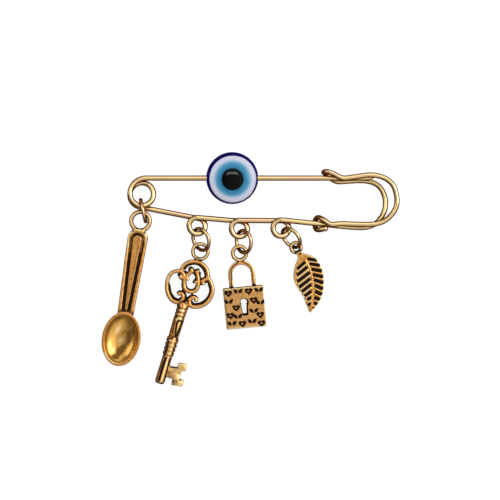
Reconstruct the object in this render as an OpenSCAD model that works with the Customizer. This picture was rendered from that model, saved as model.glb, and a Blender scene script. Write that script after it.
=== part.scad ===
// Safety pin brooch, lying on its back: a wire pin with an eye bead and four charms on wire rings.
// Millimetres. X runs along the pin, Y from the charms up to the pin arm, Z up from the surface below.

/* [Pin wire] */
// Diameter of the spring wire
wire_d = 1.25; // [1.1:0.05:1.3]
// Height of the pin arm above the surface
arm_z = 3; // [2.9:0.05:3.2]
// Place of the pin arm across the brooch
arm_y = 23.25; // [23:0.05:23.5]
// Lean of the wire frame about the pin arm, with the back wire raised
frame_lean = 6; // [5.5:0.5:6.5]
// Length of the taper at the point of the pin arm
taper_len = 2.4; // [1.5:0.1:3]

/* [Spring coil] */
// Diameter of the coil at the middle of the wire
coil_d = 5.4; // [5.2:0.1:5.5]
// Rise of the wire in one turn of the coil
coil_pitch = 1.5; // [1.48:0.01:1.52]

/* [Hanging loops] */
// Diameter of a hanging loop at the middle of the wire
loop_d = 3.7; // [3.6:0.05:3.8]
// Distance from front to back between the ends of a loop's turn
loop_rise = 1.56; // [1.5:0.02:1.6]

/* [Clasp] */
// Radius of the wrapped wire end about the back wire
wrap_r = 1.4; // [1.35:0.01:1.45]

/* [Eye bead] */
// Diameter of the bead
bead_d = 12; // [11:0.5:12.5]
// Thickness of the bead from face to face
bead_t = 6; // [5.5:0.1:6]
// Diameter of the hole along the pin arm
bead_bore = 1.4; // [1.35:0.05:1.8]
// Place of the bead along the pin arm
bead_x = -4.1; // [-12:0.1:10]

/* [Jump rings] */
// Outer diameter of a jump ring
ring_d = 6; // [5.9:0.05:6.05]
// Wire diameter of a jump ring
ring_wire = 0.85; // [0.75:0.05:0.85]

/* [Spoon] */
// Length from the middle of the eye to the end of the bowl
spoon_len = 33.9; // [32:0.1:36]
// Width of the bowl
bowl_w = 9; // [8.5:0.1:9.5]
// Length of the bowl
bowl_len = 12.6; // [12:0.1:13]
// Depth of the bowl outside
bowl_depth = 2.4; // [2.2:0.1:2.8]
// Width of the handle at its round top
handle_top_w = 4.7; // [4.4:0.1:5]
// Width of the handle at the neck
handle_neck_w = 3.7; // [3.4:0.1:4]

/* [Key] */
// Length from the middle of the eye to the end of the shaft
key_len = 32; // [31:0.1:34]
// Width of the round bars that make the bow
bow_bar = 0.95; // [0.85:0.05:1]
// Thickness of the bow
bow_t = 1.7; // [1.4:0.1:1.9]
// Diameter of the plain shaft
shaft_d = 2.2; // [2:0.05:2.4]

/* [Lock] */
// Width of the lock's body
lock_w = 9.3; // [9:0.1:9.6]
// Height of the lock's body
lock_h = 9.5; // [9.2:0.1:9.8]
// Thickness of the lock's body
lock_t = 2; // [1.8:0.1:2.2]
// Outer width of the shackle
shackle_w = 6.1; // [5.8:0.1:6.3]
// Diameter of the shackle's bar
shackle_bar = 0.85; // [0.8:0.05:1]

/* [Leaf] */
// Thickness of the leaf at its ribs
leaf_t = 1.2; // [1:0.1:1.4]
// Depth of the pockets between the ribs
leaf_pocket = 0.45; // [0.2:0.05:0.5]
// Width of one pocket
leaf_bar = 0.62; // [0.5:0.02:0.7]

/* [Hidden] */
gold_wire = "#dcb06a";
antique_gold = "#c18942";
wire_sides = 10;
step = 4;
// Middle of the whole brooch on the drawing that the places below are read from
brooch_mid = [0.06, 2.15, 0];

// Coil: the pin arm comes in over the top and the back wire leaves below
coil_c = [-24.95, 19.6];
coil_r = coil_d / 2;
lead_c = [coil_c.x + 0.95, coil_c.y];
coil_out_r = coil_r + 0.2;
coil_split = 240;
coil_gap = 6;

// Hanging loops, left to right
loop_r = loop_d / 2;
loops = [[-12.2, 12.3], [-2.45, 11.65], [7.15, 11.75]];
back_z = -1.35;

// Clasp: the wire's bends in the plane of the frame, with their height from the pin arm
wrap_c = [16.3, 12.75, back_z];
wrap_heading = -6.5;
inner_bends = [
    [20.2, 12.3, -1.35], [24.5, 11.95, -1.4], [27.2, 12.1, -1.4], [29.3, 13.15, -1.4],
    [30.75, 15.1, -1.4], [31.3, 17.3, -1.4], [31.05, 19.3, -1.4], [30.1, 21.2, -1.4],
    [28.4, 22.4, -1.4], [25.9, 22.85, -1.4], [23, 22.75, -1.4], [20.5, 22.6, -1.4]
];
hook_bends = [
    [19.2, 23.05, -1.4], [18.2, 23.95, -1.3], [17.4, 24.5, -0.9], [17.05, 24.6, 0],
    [17.4, 24.62, 0.95], [18.2, 24.45, 1.35], [19.3, 24, 1.35], [20.6, 23.3, 1.35]
];
outer_bends = [
    [21.8, 23.05, 1.35], [24.2, 23.35, 1.38], [27.9, 23.78, 1.38], [31, 23.05, 1.3],
    [33, 21.2, 1.15], [33.8, 18.1, 0.9], [33.3, 15.8, 0.6], [31.4, 13.6, 0.35],
    [28.8, 12.6, 0.2], [25, 12.5, 0.1], [21, 12.65, 0.05]
];
// Wrapped end: turn about the back wire and place along it
wrap_turns = [
    [90, 2.3], [60, 0.9], [30, -0.1], [0, -0.8], [-45, -1.25], [-90, -1.3],
    [-135, -1], [-180, -0.45], [-205, 0.3], [-222, 1.2]
];
arm_end_x = 28.6;

// Jump rings: place of the middle, which way the raised side points, and how far it is raised
ring_r = (ring_d - ring_wire) / 2;
spoon_ring = [[-24.635, 15.72, 3.03], 12.8, 88];
key_ring = [[-11.32, 9.1, 2.66], 21.4, 47.1];
lock_ring = [[-1.445, 8.59, 3.275], 5.8, 49.5];
leaf_ring = [[9.525, 9.475, 2.9], 40.2, 54.9];

// Charms: middle of the eye, turn of the hanging direction, radius and bar of the eye
spoon_eye = [-25.34, 13.34, 1.41];
spoon_turn = -9.2;
spoon_eye_r = 2.15;
spoon_eye_bar = 0.8;
key_eye = [-11.47, 6.32, 1.76];
key_turn = -17.1;
key_eye_r = 1.75;
key_eye_bar = 0.7;
lock_eye = [-2.42, 5.95, 2.31];
lock_turn = 5.5;
lock_eye_r = 1.575;
lock_eye_bar = 0.75;
leaf_eye = [10.62, 7.25, 2.14];
leaf_turn = 12.1;
leaf_eye_r = 1.15;
leaf_eye_bar = 0.7;

function unit(v) = v / norm(v);
function at_angle(c, r, a) = [c.x + r * cos(a), c.y + r * sin(a)];
function heading(a, b) = atan2(b.y - a.y, b.x - a.x);
function across(v, t) = unit(v - (v * t) * t);

// One point of the smooth curve through b and c, with a and d as the points before and after
function curve_at(a, b, c, d, t) =
    (2 * b + (c - a) * t + (2 * a - 5 * b + 4 * c - d) * t * t + (3 * b - a - 3 * c + d) * t * t * t) / 2;
function smooth(p, n) = concat([
    for (i = [0:len(p) - 2]) for (j = [0:n - 1])
        curve_at(p[max(i - 1, 0)], p[i], p[i + 1], p[min(i + 2, len(p) - 1)], j / n)
], [p[len(p) - 1]]);
function directions(p) = [for (i = [0:len(p) - 1]) unit(p[min(i + 1, len(p) - 1)] - p[max(i - 1, 0)])];
function normals(t) = [
    for (i = 0, n = across([0, 0.01, 1], t[0]); i < len(t); i = i + 1, n = across(n, t[min(i, len(t) - 1)])) n
];

// Coil from one turn angle to another, measured from its left side, widening into the back wire
function coil(from, to, n) = [
    for (i = [0:n])
        let(turn = from + (to - from) * i / n, r = coil_r + (coil_out_r - coil_r) * max(0, turn - 270) / 168)
            concat(at_angle(coil_c, r, 180 + turn), -coil_pitch * turn / 360)
];
// One hanging loop, entered and left along its top
function loop_turn(c, in, out, n) = [
    for (j = [0:n])
        concat(at_angle(c, loop_r, 90 + in + (out - in - 360) * j / n), back_z + loop_rise * (j / n - 0.5))
];
function wrap_point(turn, along) =
    let(axis = [cos(wrap_heading), sin(wrap_heading), 0], up = [-axis.y, axis.x, 0])
        wrap_c + along * axis + wrap_r * (cos(turn) * up + sin(turn) * [0, 0, 1]);

first_heading = heading(coil_c, loops[0]) + asin((coil_out_r + loop_r) / norm(loops[0] - coil_c));
headings = [first_heading, heading(loops[0], loops[1]), heading(loops[1], loops[2]), wrap_heading];
turned_wire = concat(
    coil(coil_split + coil_gap, 450 + first_heading, 18),
    [for (i = [0:len(loops) - 1]) each loop_turn(loops[i], headings[i], headings[i + 1], 16)]
);
last_turned = turned_wire[len(turned_wire) - 1];
clasp_wire = smooth(concat(
    [last_turned, (last_turned + wrap_c) / 2, wrap_c],
    inner_bends, hook_bends, outer_bends,
    [for (w = wrap_turns) wrap_point(w[0], w[1])]
), step);
frame_path = concat(turned_wire, [for (i = [1:len(clasp_wire) - 1]) clasp_wire[i]]);
arm_lead = concat(
    [[lead_c.x + 0.6, arm_y, 0], [lead_c.x, arm_y, 0]],
    [for (i = [1:8]) concat(at_angle(lead_c, arm_y - lead_c.y, 90 + 90 * i / 8), 0)],
    [for (p = coil(0, coil_split, 20)) if (p.z < 0) p]
);

// Round wire of diameter d along the path p
module wire(p, d) {
    t = directions(p);
    n = normals(t);
    s = wire_sides;
    last = len(p) - 1;
    polyhedron(
        [for (i = [0:last]) for (j = [0:s - 1])
            p[i] + d / 2 * (cos(360 * j / s) * n[i] + sin(360 * j / s) * cross(t[i], n[i]))],
        concat(
            [[for (j = [0:s - 1]) j]],
            [for (i = [0:last - 1]) for (j = [0:s - 1]) let(k = (j + 1) % s)
                [i * s + j, (i + 1) * s + j, (i + 1) * s + k, i * s + k]],
            [[for (j = [s - 1:-1:0]) last * s + j]]
        )
    );
}

// Leans the flat wire frame about the pin arm
module leaned() {
    translate([0, arm_y, arm_z] - brooch_mid) rotate([-frame_lean, 0, 0])
        translate([0, -arm_y, 0]) children();
}

module frame_wire() {
    color(gold_wire) leaned() wire(frame_path, wire_d);
}

module pin_arm() {
    straight = arm_end_x - taper_len - lead_c.x;
    color(gold_wire) leaned() {
        translate([lead_c.x, arm_y, 0]) rotate([0, 90, 0]) cylinder(d = wire_d, h = straight, $fn = 64);
        translate([arm_end_x - taper_len, arm_y, 0]) rotate([0, 90, 0])
            cylinder(d1 = wire_d, d2 = 0.2, h = taper_len, $fn = 64);
        wire(arm_lead, wire_d - 0.02);
    }
}

// Half the bead's section: a low dome that meets a round rim
function bead_outline() =
    let(rim = 2.2, out = bead_d / 2 - rim, half = bead_t / 2,
        drop = (out * out - (half - rim) * (half - rim)) / (2 * (half - rim)),
        dome = half + drop, edge = atan2(drop, out))
        concat(
            [for (i = [0:6]) let(a = 90 - (90 - edge) * i / 6) [dome * cos(a), dome * sin(a) - drop]],
            [for (i = [1:11]) let(a = edge - 2 * edge * i / 12) [out + rim * cos(a), rim * sin(a)]],
            [for (i = [6:-1:0]) let(a = 90 - (90 - edge) * i / 6) [dome * cos(a), drop - dome * sin(a)]]
        );

module eye_bead() {
    color("#1b1466") translate([bead_x, arm_y, arm_z] - brooch_mid) difference() {
        rotate_extrude($fn = 96) polygon(bead_outline());
        rotate([0, 90, 0]) cylinder(d = bead_bore, h = bead_d + 2, center = true, $fn = 48);
    }
}

// One wire ring, raised on the side that the direction points to
module jump_ring(place) {
    color(gold_wire) translate(place[0] - brooch_mid) rotate([0, 0, place[1]]) rotate([0, -place[2], 0])
        rotate_extrude($fn = 64) translate([ring_r, 0]) circle(d = ring_wire, $fn = 32);
}

// Puts a charm with its eye in place, leaned so that its far end rests on the surface
module hung(eye, turn, eye_z, reach) {
    lift = asin((eye.z - eye_z) / reach);
    translate(eye - brooch_mid) rotate([0, 0, turn]) rotate([lift, 0, 0])
        translate([0, 0, -eye_z]) children();
}

module eye_ring(r, bar, z) {
    translate([0, 0, z]) rotate_extrude($fn = 64) translate([r, 0]) circle(d = bar, $fn = 32);
}

// Closed outline with a round top end, straight sides and a flat lower end
function tongue(top, bottom, w_top, w_bottom) = concat(
    [for (a = [0:12:180]) [w_top / 2 * cos(a), top - w_top / 2 + w_top / 2 * sin(a)]],
    [[-w_bottom / 2, bottom], [w_bottom / 2, bottom]]
);

// Hollow bowl: rings of the outside from the bottom up, then of the inside back down
module bowl(w, len, depth, wall, rim, n = 36, rows = 6) {
    levels = concat(
        [for (i = [1:rows]) let(a = 90 * (1 - i / rows))
            [w / 2 * cos(a), len / 2 * cos(a), depth * (1 - sin(a))]],
        [for (i = [0:rows - 1]) let(a = 90 * i / rows)
            [(w / 2 - rim) * cos(a), (len / 2 - rim) * cos(a), depth - (depth - wall) * sin(a)]]
    );
    last = len(levels) - 1;
    polyhedron(
        concat(
            [for (v = levels) for (j = [0:n - 1]) [v[0] * cos(360 * j / n), v[1] * sin(360 * j / n), v[2]]],
            [[0, 0, 0], [0, 0, wall]]
        ),
        concat(
            [for (j = [0:n - 1]) let(k = (j + 1) % n) [(last + 1) * n, j, k]],
            [for (i = [0:last - 1]) for (j = [0:n - 1]) let(k = (j + 1) % n)
                [i * n + j, (i + 1) * n + j, (i + 1) * n + k, i * n + k]],
            [for (j = [0:n - 1]) let(k = (j + 1) % n) [(last + 1) * n + 1, last * n + k, last * n + j]]
        )
    );
}

module spoon_charm() {
    handle_z = 0.7;
    floor_z = 1.7;
    top_z = 2.1;
    neck = spoon_len - bowl_len;
    rim = 0.65;
    color(antique_gold) hung(spoon_eye, spoon_turn, spoon_eye.z, spoon_len) {
        eye_ring(spoon_eye_r, spoon_eye_bar, spoon_eye.z);
        difference() {
            translate([0, 0, handle_z]) linear_extrude(top_z - handle_z)
                polygon(tongue(-2, -neck - 0.75, handle_top_w, handle_neck_w));
            translate([0, 0, floor_z]) linear_extrude(1) difference() {
                polygon(tongue(-2 - rim, -neck + 0.2, handle_top_w - 2 * rim, handle_neck_w - 2 * rim));
                polygon(tongue(-3.35, -neck + 0.15, handle_top_w - 2.7, handle_neck_w - 3.2));
            }
        }
        translate([0, bowl_len / 2 - spoon_len, 0]) bowl(bowl_w, bowl_len, bowl_depth, 0.7, 0.8);
    }
}

// Outline of a bar of width w that follows the points p, with round ends
function bar_outline(p, w) =
    let(t = directions(p), last = len(p) - 1, a = atan2(t[0].y, t[0].x), b = atan2(t[last].y, t[last].x))
        concat(
            [for (i = [0:last]) p[i] + w / 2 * [-t[i].y, t[i].x]],
            [for (s = [60:-30:-60]) p[last] + w / 2 * [cos(b + s), sin(b + s)]],
            [for (i = [last:-1:0]) p[i] - w / 2 * [-t[i].y, t[i].x]],
            [for (s = [-120:-30:-240]) p[0] + w / 2 * [cos(a + s), sin(a + s)]]
        );
module bar(p, w) {
    polygon(bar_outline(smooth(p, 3), w));
}

// Bow of the key: each bar by the places of its middle line, across the key and along it
left_lobe = [
    [-2.5, -6.9], [-2.3, -6.2], [-3.1, -5.7], [-4.6, -6.3], [-5.3, -7.8], [-5.2, -9.7],
    [-4.5, -11.2], [-3.3, -12.3], [-1.95, -12.75], [-0.95, -12.2], [-0.75, -11.3], [-1.3, -10.8]
];
top_lobe = [
    [-2.8, -5.6], [-2.5, -4.1], [-1.5, -2.9], [-0.1, -2.4], [1.3, -2.6], [2.6, -3.65],
    [3.35, -5.1], [2.9, -6], [2.6, -6.7]
];
right_lobe = [
    [3.1, -4.9], [4.3, -6.1], [5.1, -7.5], [5.25, -9.4], [4.7, -11.1], [3.45, -12.2],
    [2.1, -12.6], [1.1, -12.1], [0.95, -11.3], [1.6, -10.8]
];
pear_loop = [
    [-1.1, -4.5], [-0.6, -5.2], [-1.35, -6.6], [-1.7, -8.1], [-1.1, -9.35], [0.05, -9.85],
    [1.15, -9.4], [1.75, -8.2], [1.6, -6.8], [0.8, -5.4], [1.2, -4.5]
];
pear_curls = [[[-1.5, -6.9], [-0.9, -7.2]], [[1.6, -6.9], [0.95, -7.2]]];
bow_webs = [
    [[-2.7, -5], [-0.9, -5.2], [-1.5, -7.6], [-2.6, -7.3]],
    [[1.1, -5.2], [2.9, -5.6], [2.7, -7.3], [1.6, -7.5]],
    [[-1, -11], [-0.3, -9.6], [0.3, -9.6], [1.1, -11], [1.2, -12.8], [-1.2, -12.9]]
];
// Stem of the key: place along it and radius
stem_rows = [
    [12.4, 1.1], [13.2, 1.1], [13.3, 1.35], [14, 1.35], [14.1, 1.1], [14.4, 1.1], [14.5, 1.4], [15.3, 1.4],
    [15.5, 1.15], [16, 1.15], [20.9, 1.15], [21.1, 1.4], [21.9, 1.4], [22.1, 1.15], [22.4, 1.4], [23.1, 1.4],
    [23.3, 1.1], [23.6, 1.35], [24.2, 1.35], [24.4, 1.1], [24.7, 1.3], [25.3, 1.3], [25.5, 1.1]
];
bit_outline = [
    [0.6, -27.6], [2.7, -27.4], [2.8, -26.2], [4.9, -26.1], [4.8, -27.6], [4, -27.9],
    [4, -29.6], [4.9, -29.6], [4.9, -31.2], [2.7, -31.3], [2.65, -30.1], [0.6, -30.1]
];

module key_charm() {
    axis_z = 1.4;
    bow_z = axis_z - bow_t / 2;
    color(antique_gold) hung(key_eye, key_turn, axis_z, key_len) {
        eye_ring(key_eye_r, key_eye_bar, axis_z);
        translate([0, 0, bow_z]) linear_extrude(bow_t) offset(r = 0.02) {
            for (p = [left_lobe, top_lobe, right_lobe, pear_loop]) bar(p, bow_bar);
            for (p = pear_curls) bar(p, 0.7);
        }
        for (p = bow_webs) translate([0, 0, bow_z + 0.35]) linear_extrude(bow_t - 1) polygon(p);
        translate([0, 0, axis_z]) rotate([90, 0, 0]) rotate_extrude($fn = 48) polygon(concat(
            [[0, stem_rows[0][0]]],
            [for (v = stem_rows) [v[1], v[0]]],
            [[shaft_d / 2, key_len - 0.2], [shaft_d / 2 - 0.2, key_len], [0, key_len]]
        ));
        translate([0, 0, axis_z - 0.65]) linear_extrude(1.3) polygon(bit_outline);
    }
}

// Small heart and two-leaf sprig that fill the lock's face
function heart(s) = [
    for (a = [0:30:330])
        s / 32 * [16 * pow(sin(a), 3), 13 * cos(a) - 5 * cos(2 * a) - 2 * cos(3 * a) - cos(4 * a)]
];
module sprig(s) {
    for (m = [-1, 1]) rotate(m * 38)
        polygon([[0, 0.12 * s], [0.18 * s, 0.42 * s], [0, 0.85 * s], [-0.18 * s, 0.42 * s]]);
}
// Marks on the lock's face: place across and along, and 1 for a heart or 0 for a sprig
lock_marks = [
    [-3.5, 3.6, 1], [-1.2, 3.4, 0], [1.2, 3.7, 1], [3.6, 3.3, 0],
    [-3.6, 1.2, 0], [-2, 0.1, 1], [2.2, 1.5, 1], [3.7, 0.4, 0],
    [-3.5, -1.6, 1], [-1.8, -2.4, 0], [2, -1.4, 0], [3.4, -2, 1],
    [-3.3, -3.9, 0], [-0.9, -3.7, 1], [1.4, -3.8, 0], [3.5, -4, 1]
];

module lock_charm() {
    eye_z = lock_t / 2;
    top_y = -7.85;
    face = [0, top_y - lock_h / 2];
    shackle_r = (shackle_w - shackle_bar) / 2;
    bend_y = -lock_eye_r - lock_eye_bar / 2 + 0.15 - shackle_w / 2;
    color(antique_gold) hung(lock_eye, lock_turn, eye_z, -top_y + lock_h) {
        eye_ring(lock_eye_r, lock_eye_bar, eye_z);
        translate([0, bend_y, eye_z]) rotate_extrude(angle = 180, $fn = 64)
            translate([shackle_r, 0]) circle(d = shackle_bar, $fn = 32);
        for (m = [-1, 1]) translate([m * shackle_r, top_y - 0.5, eye_z]) rotate([-90, 0, 0])
            cylinder(d = shackle_bar, h = bend_y - top_y + 0.5, $fn = 32);
        difference() {
            translate([-lock_w / 2, top_y - lock_h, 0]) cube([lock_w, lock_h, lock_t]);
            translate([face.x, face.y + 1.1, -1]) cylinder(d = 1.9, h = lock_t + 2, $fn = 48);
            translate([face.x, face.y, -1]) linear_extrude(lock_t + 2)
                polygon([[-0.7, 1.1], [0.7, 1.1], [0.5, -1.7], [-0.5, -1.7]]);
            for (v = lock_marks) translate([face.x + v[0], face.y + v[1], lock_t - 0.25]) linear_extrude(1)
                if (v[2] == 1) polygon(heart(1.3)); else sprig(1.2);
        }
    }
}

// Leaf: outline across and along, then the midrib with the widest reach of the pockets on each side
leaf_left = [
    [-0.3, -1.25], [-0.1, -2.4], [-0.55, -3.3], [-1.15, -4.2], [-1.75, -5.6], [-2.05, -7.2],
    [-1.85, -8.5], [-1.3, -10], [-0.75, -11.5], [-0.5, -13.1], [-0.3, -14.4], [0.1, -15.55]
];
leaf_right = [
    [0.6, -15.1], [1.6, -14.4], [3, -13], [4.2, -10.8], [4.85, -8.2], [4.9, -6.3], [4.4, -4.5],
    [3.3, -2.8], [2.1, -2.05], [1.3, -1.5], [0.8, -0.95]
];
midrib = [[0.9, -1.2], [1.5, -3.8], [2.05, -6.9], [1.9, -9.6], [1.5, -11.9], [0.3, -15.1]];
// Pockets: place at the midrib, length and slope, on the left and on the right
left_pockets = [
    [1.3, -3.8, 2.4, -35], [1.5, -4.9, 3, -28], [1.65, -6.35, 3.3, -24], [1.65, -7.8, 3.1, -25],
    [1.55, -9.2, 2.6, -22], [1.35, -10.65, 1.9, -21], [1.1, -12, 1.2, -15], [0.7, -13.4, 0.8, -15]
];
right_pockets = [
    [2.1, -3, 2, 21], [2.45, -4.25, 2.2, 21], [2.6, -5.6, 2.2, 24], [2.75, -6.85, 2, 28],
    [2.7, -8.25, 1.9, 32], [2.5, -9.6, 1.8, 34], [2.3, -11, 1.45, 35], [1.9, -12.2, 1.1, 34],
    [1.55, -13.45, 0.7, 30]
];

module leaf_pocket_bar(v, side) {
    translate([v[0], v[1]]) rotate(side * -v[3]) translate([side < 0 ? -v[2] : 0, -leaf_bar / 2])
        square([v[2], leaf_bar]);
}

module leaf_charm() {
    eye_z = 0.5;
    tip = -leaf_left[len(leaf_left) - 1].y;
    color(antique_gold) hung(leaf_eye, leaf_turn, eye_z, tip) {
        eye_ring(leaf_eye_r, leaf_eye_bar, eye_z);
        difference() {
            linear_extrude(leaf_t) polygon(concat(smooth(leaf_left, 3), smooth(leaf_right, 3)));
            translate([0, 0, leaf_t - leaf_pocket]) linear_extrude(1) {
                for (v = left_pockets) leaf_pocket_bar(v, -1);
                for (v = right_pockets) leaf_pocket_bar(v, 1);
            }
        }
        translate([0, 0, leaf_t - 0.25]) linear_extrude(0.5) bar(midrib, 0.6);
    }
}

frame_wire();
pin_arm();
eye_bead();
jump_ring(spoon_ring);  // jump_ring_spoon
jump_ring(key_ring);  // jump_ring_key
jump_ring(lock_ring);  // jump_ring_lock
jump_ring(leaf_ring);  // jump_ring_leaf
spoon_charm();
key_charm();
lock_charm();
leaf_charm();
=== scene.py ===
import bpy
import math
import numpy as np
from mathutils import Matrix, Vector


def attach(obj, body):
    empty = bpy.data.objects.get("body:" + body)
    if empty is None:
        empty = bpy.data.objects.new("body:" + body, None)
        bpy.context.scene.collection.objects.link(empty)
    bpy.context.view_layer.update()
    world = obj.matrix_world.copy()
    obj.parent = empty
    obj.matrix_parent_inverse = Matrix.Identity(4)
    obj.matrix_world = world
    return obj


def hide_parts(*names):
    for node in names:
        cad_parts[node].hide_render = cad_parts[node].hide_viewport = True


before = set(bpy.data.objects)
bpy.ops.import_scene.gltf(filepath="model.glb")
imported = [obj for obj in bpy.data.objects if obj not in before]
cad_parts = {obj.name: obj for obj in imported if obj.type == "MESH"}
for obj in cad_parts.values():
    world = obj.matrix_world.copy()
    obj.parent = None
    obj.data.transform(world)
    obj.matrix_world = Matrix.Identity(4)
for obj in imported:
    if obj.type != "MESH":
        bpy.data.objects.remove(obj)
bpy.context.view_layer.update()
print("frame loaded:", len(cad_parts), "nodes")

mm = 0.001
sheetMiddle = Vector((0.06, 2.15, 0))  # the brooch's middle on the drawing that the places come from
weld = 0.0005  # points closer than this become one
far = 99.0  # beyond everything here
sharpFrom = 40  # degrees between two faces that keep a sharp edge
photo = {
    "scale": 0.2308,  # millimetres in one pixel
    "side": 500,
    "middleRow": 278.9,  # the drawing's level line
    "lens": 150.0,
    "sensor": 36.0,
    "height": 2.5,  # millimetres, of the level that the camera sees at scale
}


# small tools

def fromPhoto(charm, points):  # pixels of the photograph as places on the flat charm, its eye at the origin
    back = Matrix.Rotation(math.radians(-charm["turn"]), 2)
    eye, middle, scale = Vector(charm["eye"][:2]), photo["side"] / 2, photo["scale"]
    row = photo["middleRow"]
    return [back @ (Vector(((x - middle) * scale, (row - y) * scale)) - eye) for x, y in points]


def deselectAll():
    if bpy.context.mode != "OBJECT":
        bpy.ops.object.mode_set(mode="OBJECT")
    bpy.ops.object.select_all(action="DESELECT")


def pick(piece):
    deselectAll()
    piece.select_set(True)
    bpy.context.view_layer.objects.active = piece


def applyPlace(piece):
    pick(piece)
    bpy.ops.object.transform_apply(location=True, rotation=True, scale=True)


def applyModifiers(piece):
    pick(piece)
    for modifier in list(piece.modifiers):
        bpy.ops.object.modifier_apply(modifier=modifier.name)


def joinAll(name, pieces):
    pick(pieces[0])
    for piece in pieces:
        piece.select_set(True)
    bpy.ops.object.join()
    joined = bpy.context.object
    joined.name = name
    joined.data.name = name
    return joined


def mergeDoubles(piece):
    pick(piece)
    bpy.ops.object.mode_set(mode="EDIT")
    bpy.ops.mesh.select_all(action="SELECT")
    bpy.ops.mesh.remove_doubles(threshold=weld)
    bpy.ops.mesh.normals_make_consistent(inside=False)
    bpy.ops.object.mode_set(mode="OBJECT")


def curvePoints(a, b, c, d, steps):  # from b to just before c, on a smooth curve through all four
    run = []
    for j in range(steps):
        t = j / steps
        run.append((2 * b + (c - a) * t + (2 * a - 5 * b + 4 * c - d) * t * t
                    + (3 * b - a - 3 * c + d) * t * t * t) / 2)
    return run


def smoothRun(points, steps):  # a smooth line through the points
    points = [Vector(point) for point in points]
    last = len(points) - 1
    run = []
    for i in range(last):
        run += curvePoints(points[max(i - 1, 0)], points[i], points[i + 1], points[min(i + 2, last)], steps)
    return run + [points[-1]]


def smoothLoop(points, steps):  # the same for a closed line
    points = [Vector(point) for point in points]
    run = []
    for i in range(len(points)):
        run += curvePoints(*(points[(i + k) % len(points)] for k in (-1, 0, 1, 2)), steps)
    return run


def curveFromPhoto(charm, points, steps, height=0):
    return smoothRun([(*point, height) for point in fromPhoto(charm, points)], steps)


endCap = [(0.05, 0.995), (0.35, 0.95), (0.65, 0.78), (0.87, 0.52), (0.98, 0.2)]  # place past the end, width


def roundedEnds(points, radius, start=True):  # extra points and widths that round the cut ends of a wire
    points = [Vector(point) for point in points]
    widths = [1.0] * len(points)
    last, way = points[-1], (points[-1] - points[-2]).normalized()
    points += [last + way * radius * past for past, width in endCap]
    widths += [width for past, width in endCap]
    if start:
        first, way = points[0], (points[0] - points[1]).normalized()
        points = [first + way * radius * past for past, width in reversed(endCap)] + points
        widths = [width for past, width in reversed(endCap)] + widths
    return points, widths


def newCurve(name):
    deselectAll()
    bpy.ops.curve.primitive_bezier_curve_add()
    curve = bpy.context.object
    curve.name = name
    curve.data.splines.clear()
    return curve


def addLine(curve, points, closed=False):
    line = curve.data.splines.new("POLY")
    line.points.add(len(points) - 1)
    for spot, point in zip(line.points, points):
        spot.co = (*point, 1)
    line.use_cyclic_u = closed
    return line


def wireAlong(name, points, width, widths=None, sides=7):
    wire = newCurve(name)
    line = addLine(wire, points)
    for spot, share in zip(line.points, widths or [1] * len(points)):
        spot.radius = share
    wire.data.dimensions = "3D"
    wire.data.bevel_depth = width / 2
    wire.data.bevel_resolution = sides
    wire.data.use_fill_caps = True
    bpy.ops.object.convert(target="MESH")
    mergeDoubles(wire)
    return wire


def plate(name, outlines, low, high, soft=0.0):  # flat shape from closed outlines, inner ones are holes
    shape = newCurve(name)
    shape.data.dimensions = "2D"
    shape.data.fill_mode = "BOTH"
    for outline in outlines:
        addLine(shape, [(x, y, 0) for x, y in outline], True)
    shape.data.extrude = (high - low) / 2 - soft
    shape.data.bevel_depth = soft
    shape.data.bevel_resolution = 3
    shape.data.offset = -soft
    shape.location.z = (low + high) / 2
    bpy.ops.object.convert(target="MESH")
    applyPlace(shape)
    mergeDoubles(shape)
    return shape


def turned(name, profile, steps, axis="Y"):  # profile of (radius, place along) turned about the axis
    shape = newCurve(name)
    addLine(shape, [(radius, along, 0) if axis == "Y" else (radius, 0, along) for radius, along in profile])
    bpy.ops.object.convert(target="MESH")
    turn = shape.modifiers.new("turn", "SCREW")
    turn.axis = axis
    turn.steps = turn.render_steps = steps
    turn.use_merge_vertices = True
    turn.merge_threshold = weld
    applyModifiers(shape)
    mergeDoubles(shape)
    return shape


def cutOut(piece, tool):
    pick(piece)
    cut = piece.modifiers.new("cut", "BOOLEAN")
    cut.operation = "DIFFERENCE"
    cut.solver = "EXACT"
    cut.object = tool
    applyModifiers(piece)
    bpy.data.objects.remove(tool)


def fuse(piece, grain, rounds, strength):  # melts overlapping forms into one casting
    pick(piece)
    melt = piece.modifiers.new("melt", "REMESH")
    melt.mode = "VOXEL"
    melt.voxel_size = grain
    melt.use_smooth_shade = True
    calm = piece.modifiers.new("calm", "SMOOTH")
    calm.factor = strength
    calm.iterations = rounds
    applyModifiers(piece)


def paintNumbers(piece, name, values):
    layer = piece.data.attributes.get(name) or piece.data.attributes.new(name, "FLOAT", "POINT")
    layer.data.foreach_set("value", np.asarray(values, np.float32))


def meshArrays(piece):
    count = len(piece.data.vertices)
    places, normals = np.empty(count * 3, np.float32), np.empty(count * 3, np.float32)
    piece.data.vertices.foreach_get("co", places)
    piece.data.vertices.foreach_get("normal", normals)
    return places.reshape(-1, 3), normals.reshape(-1, 3)


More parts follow.
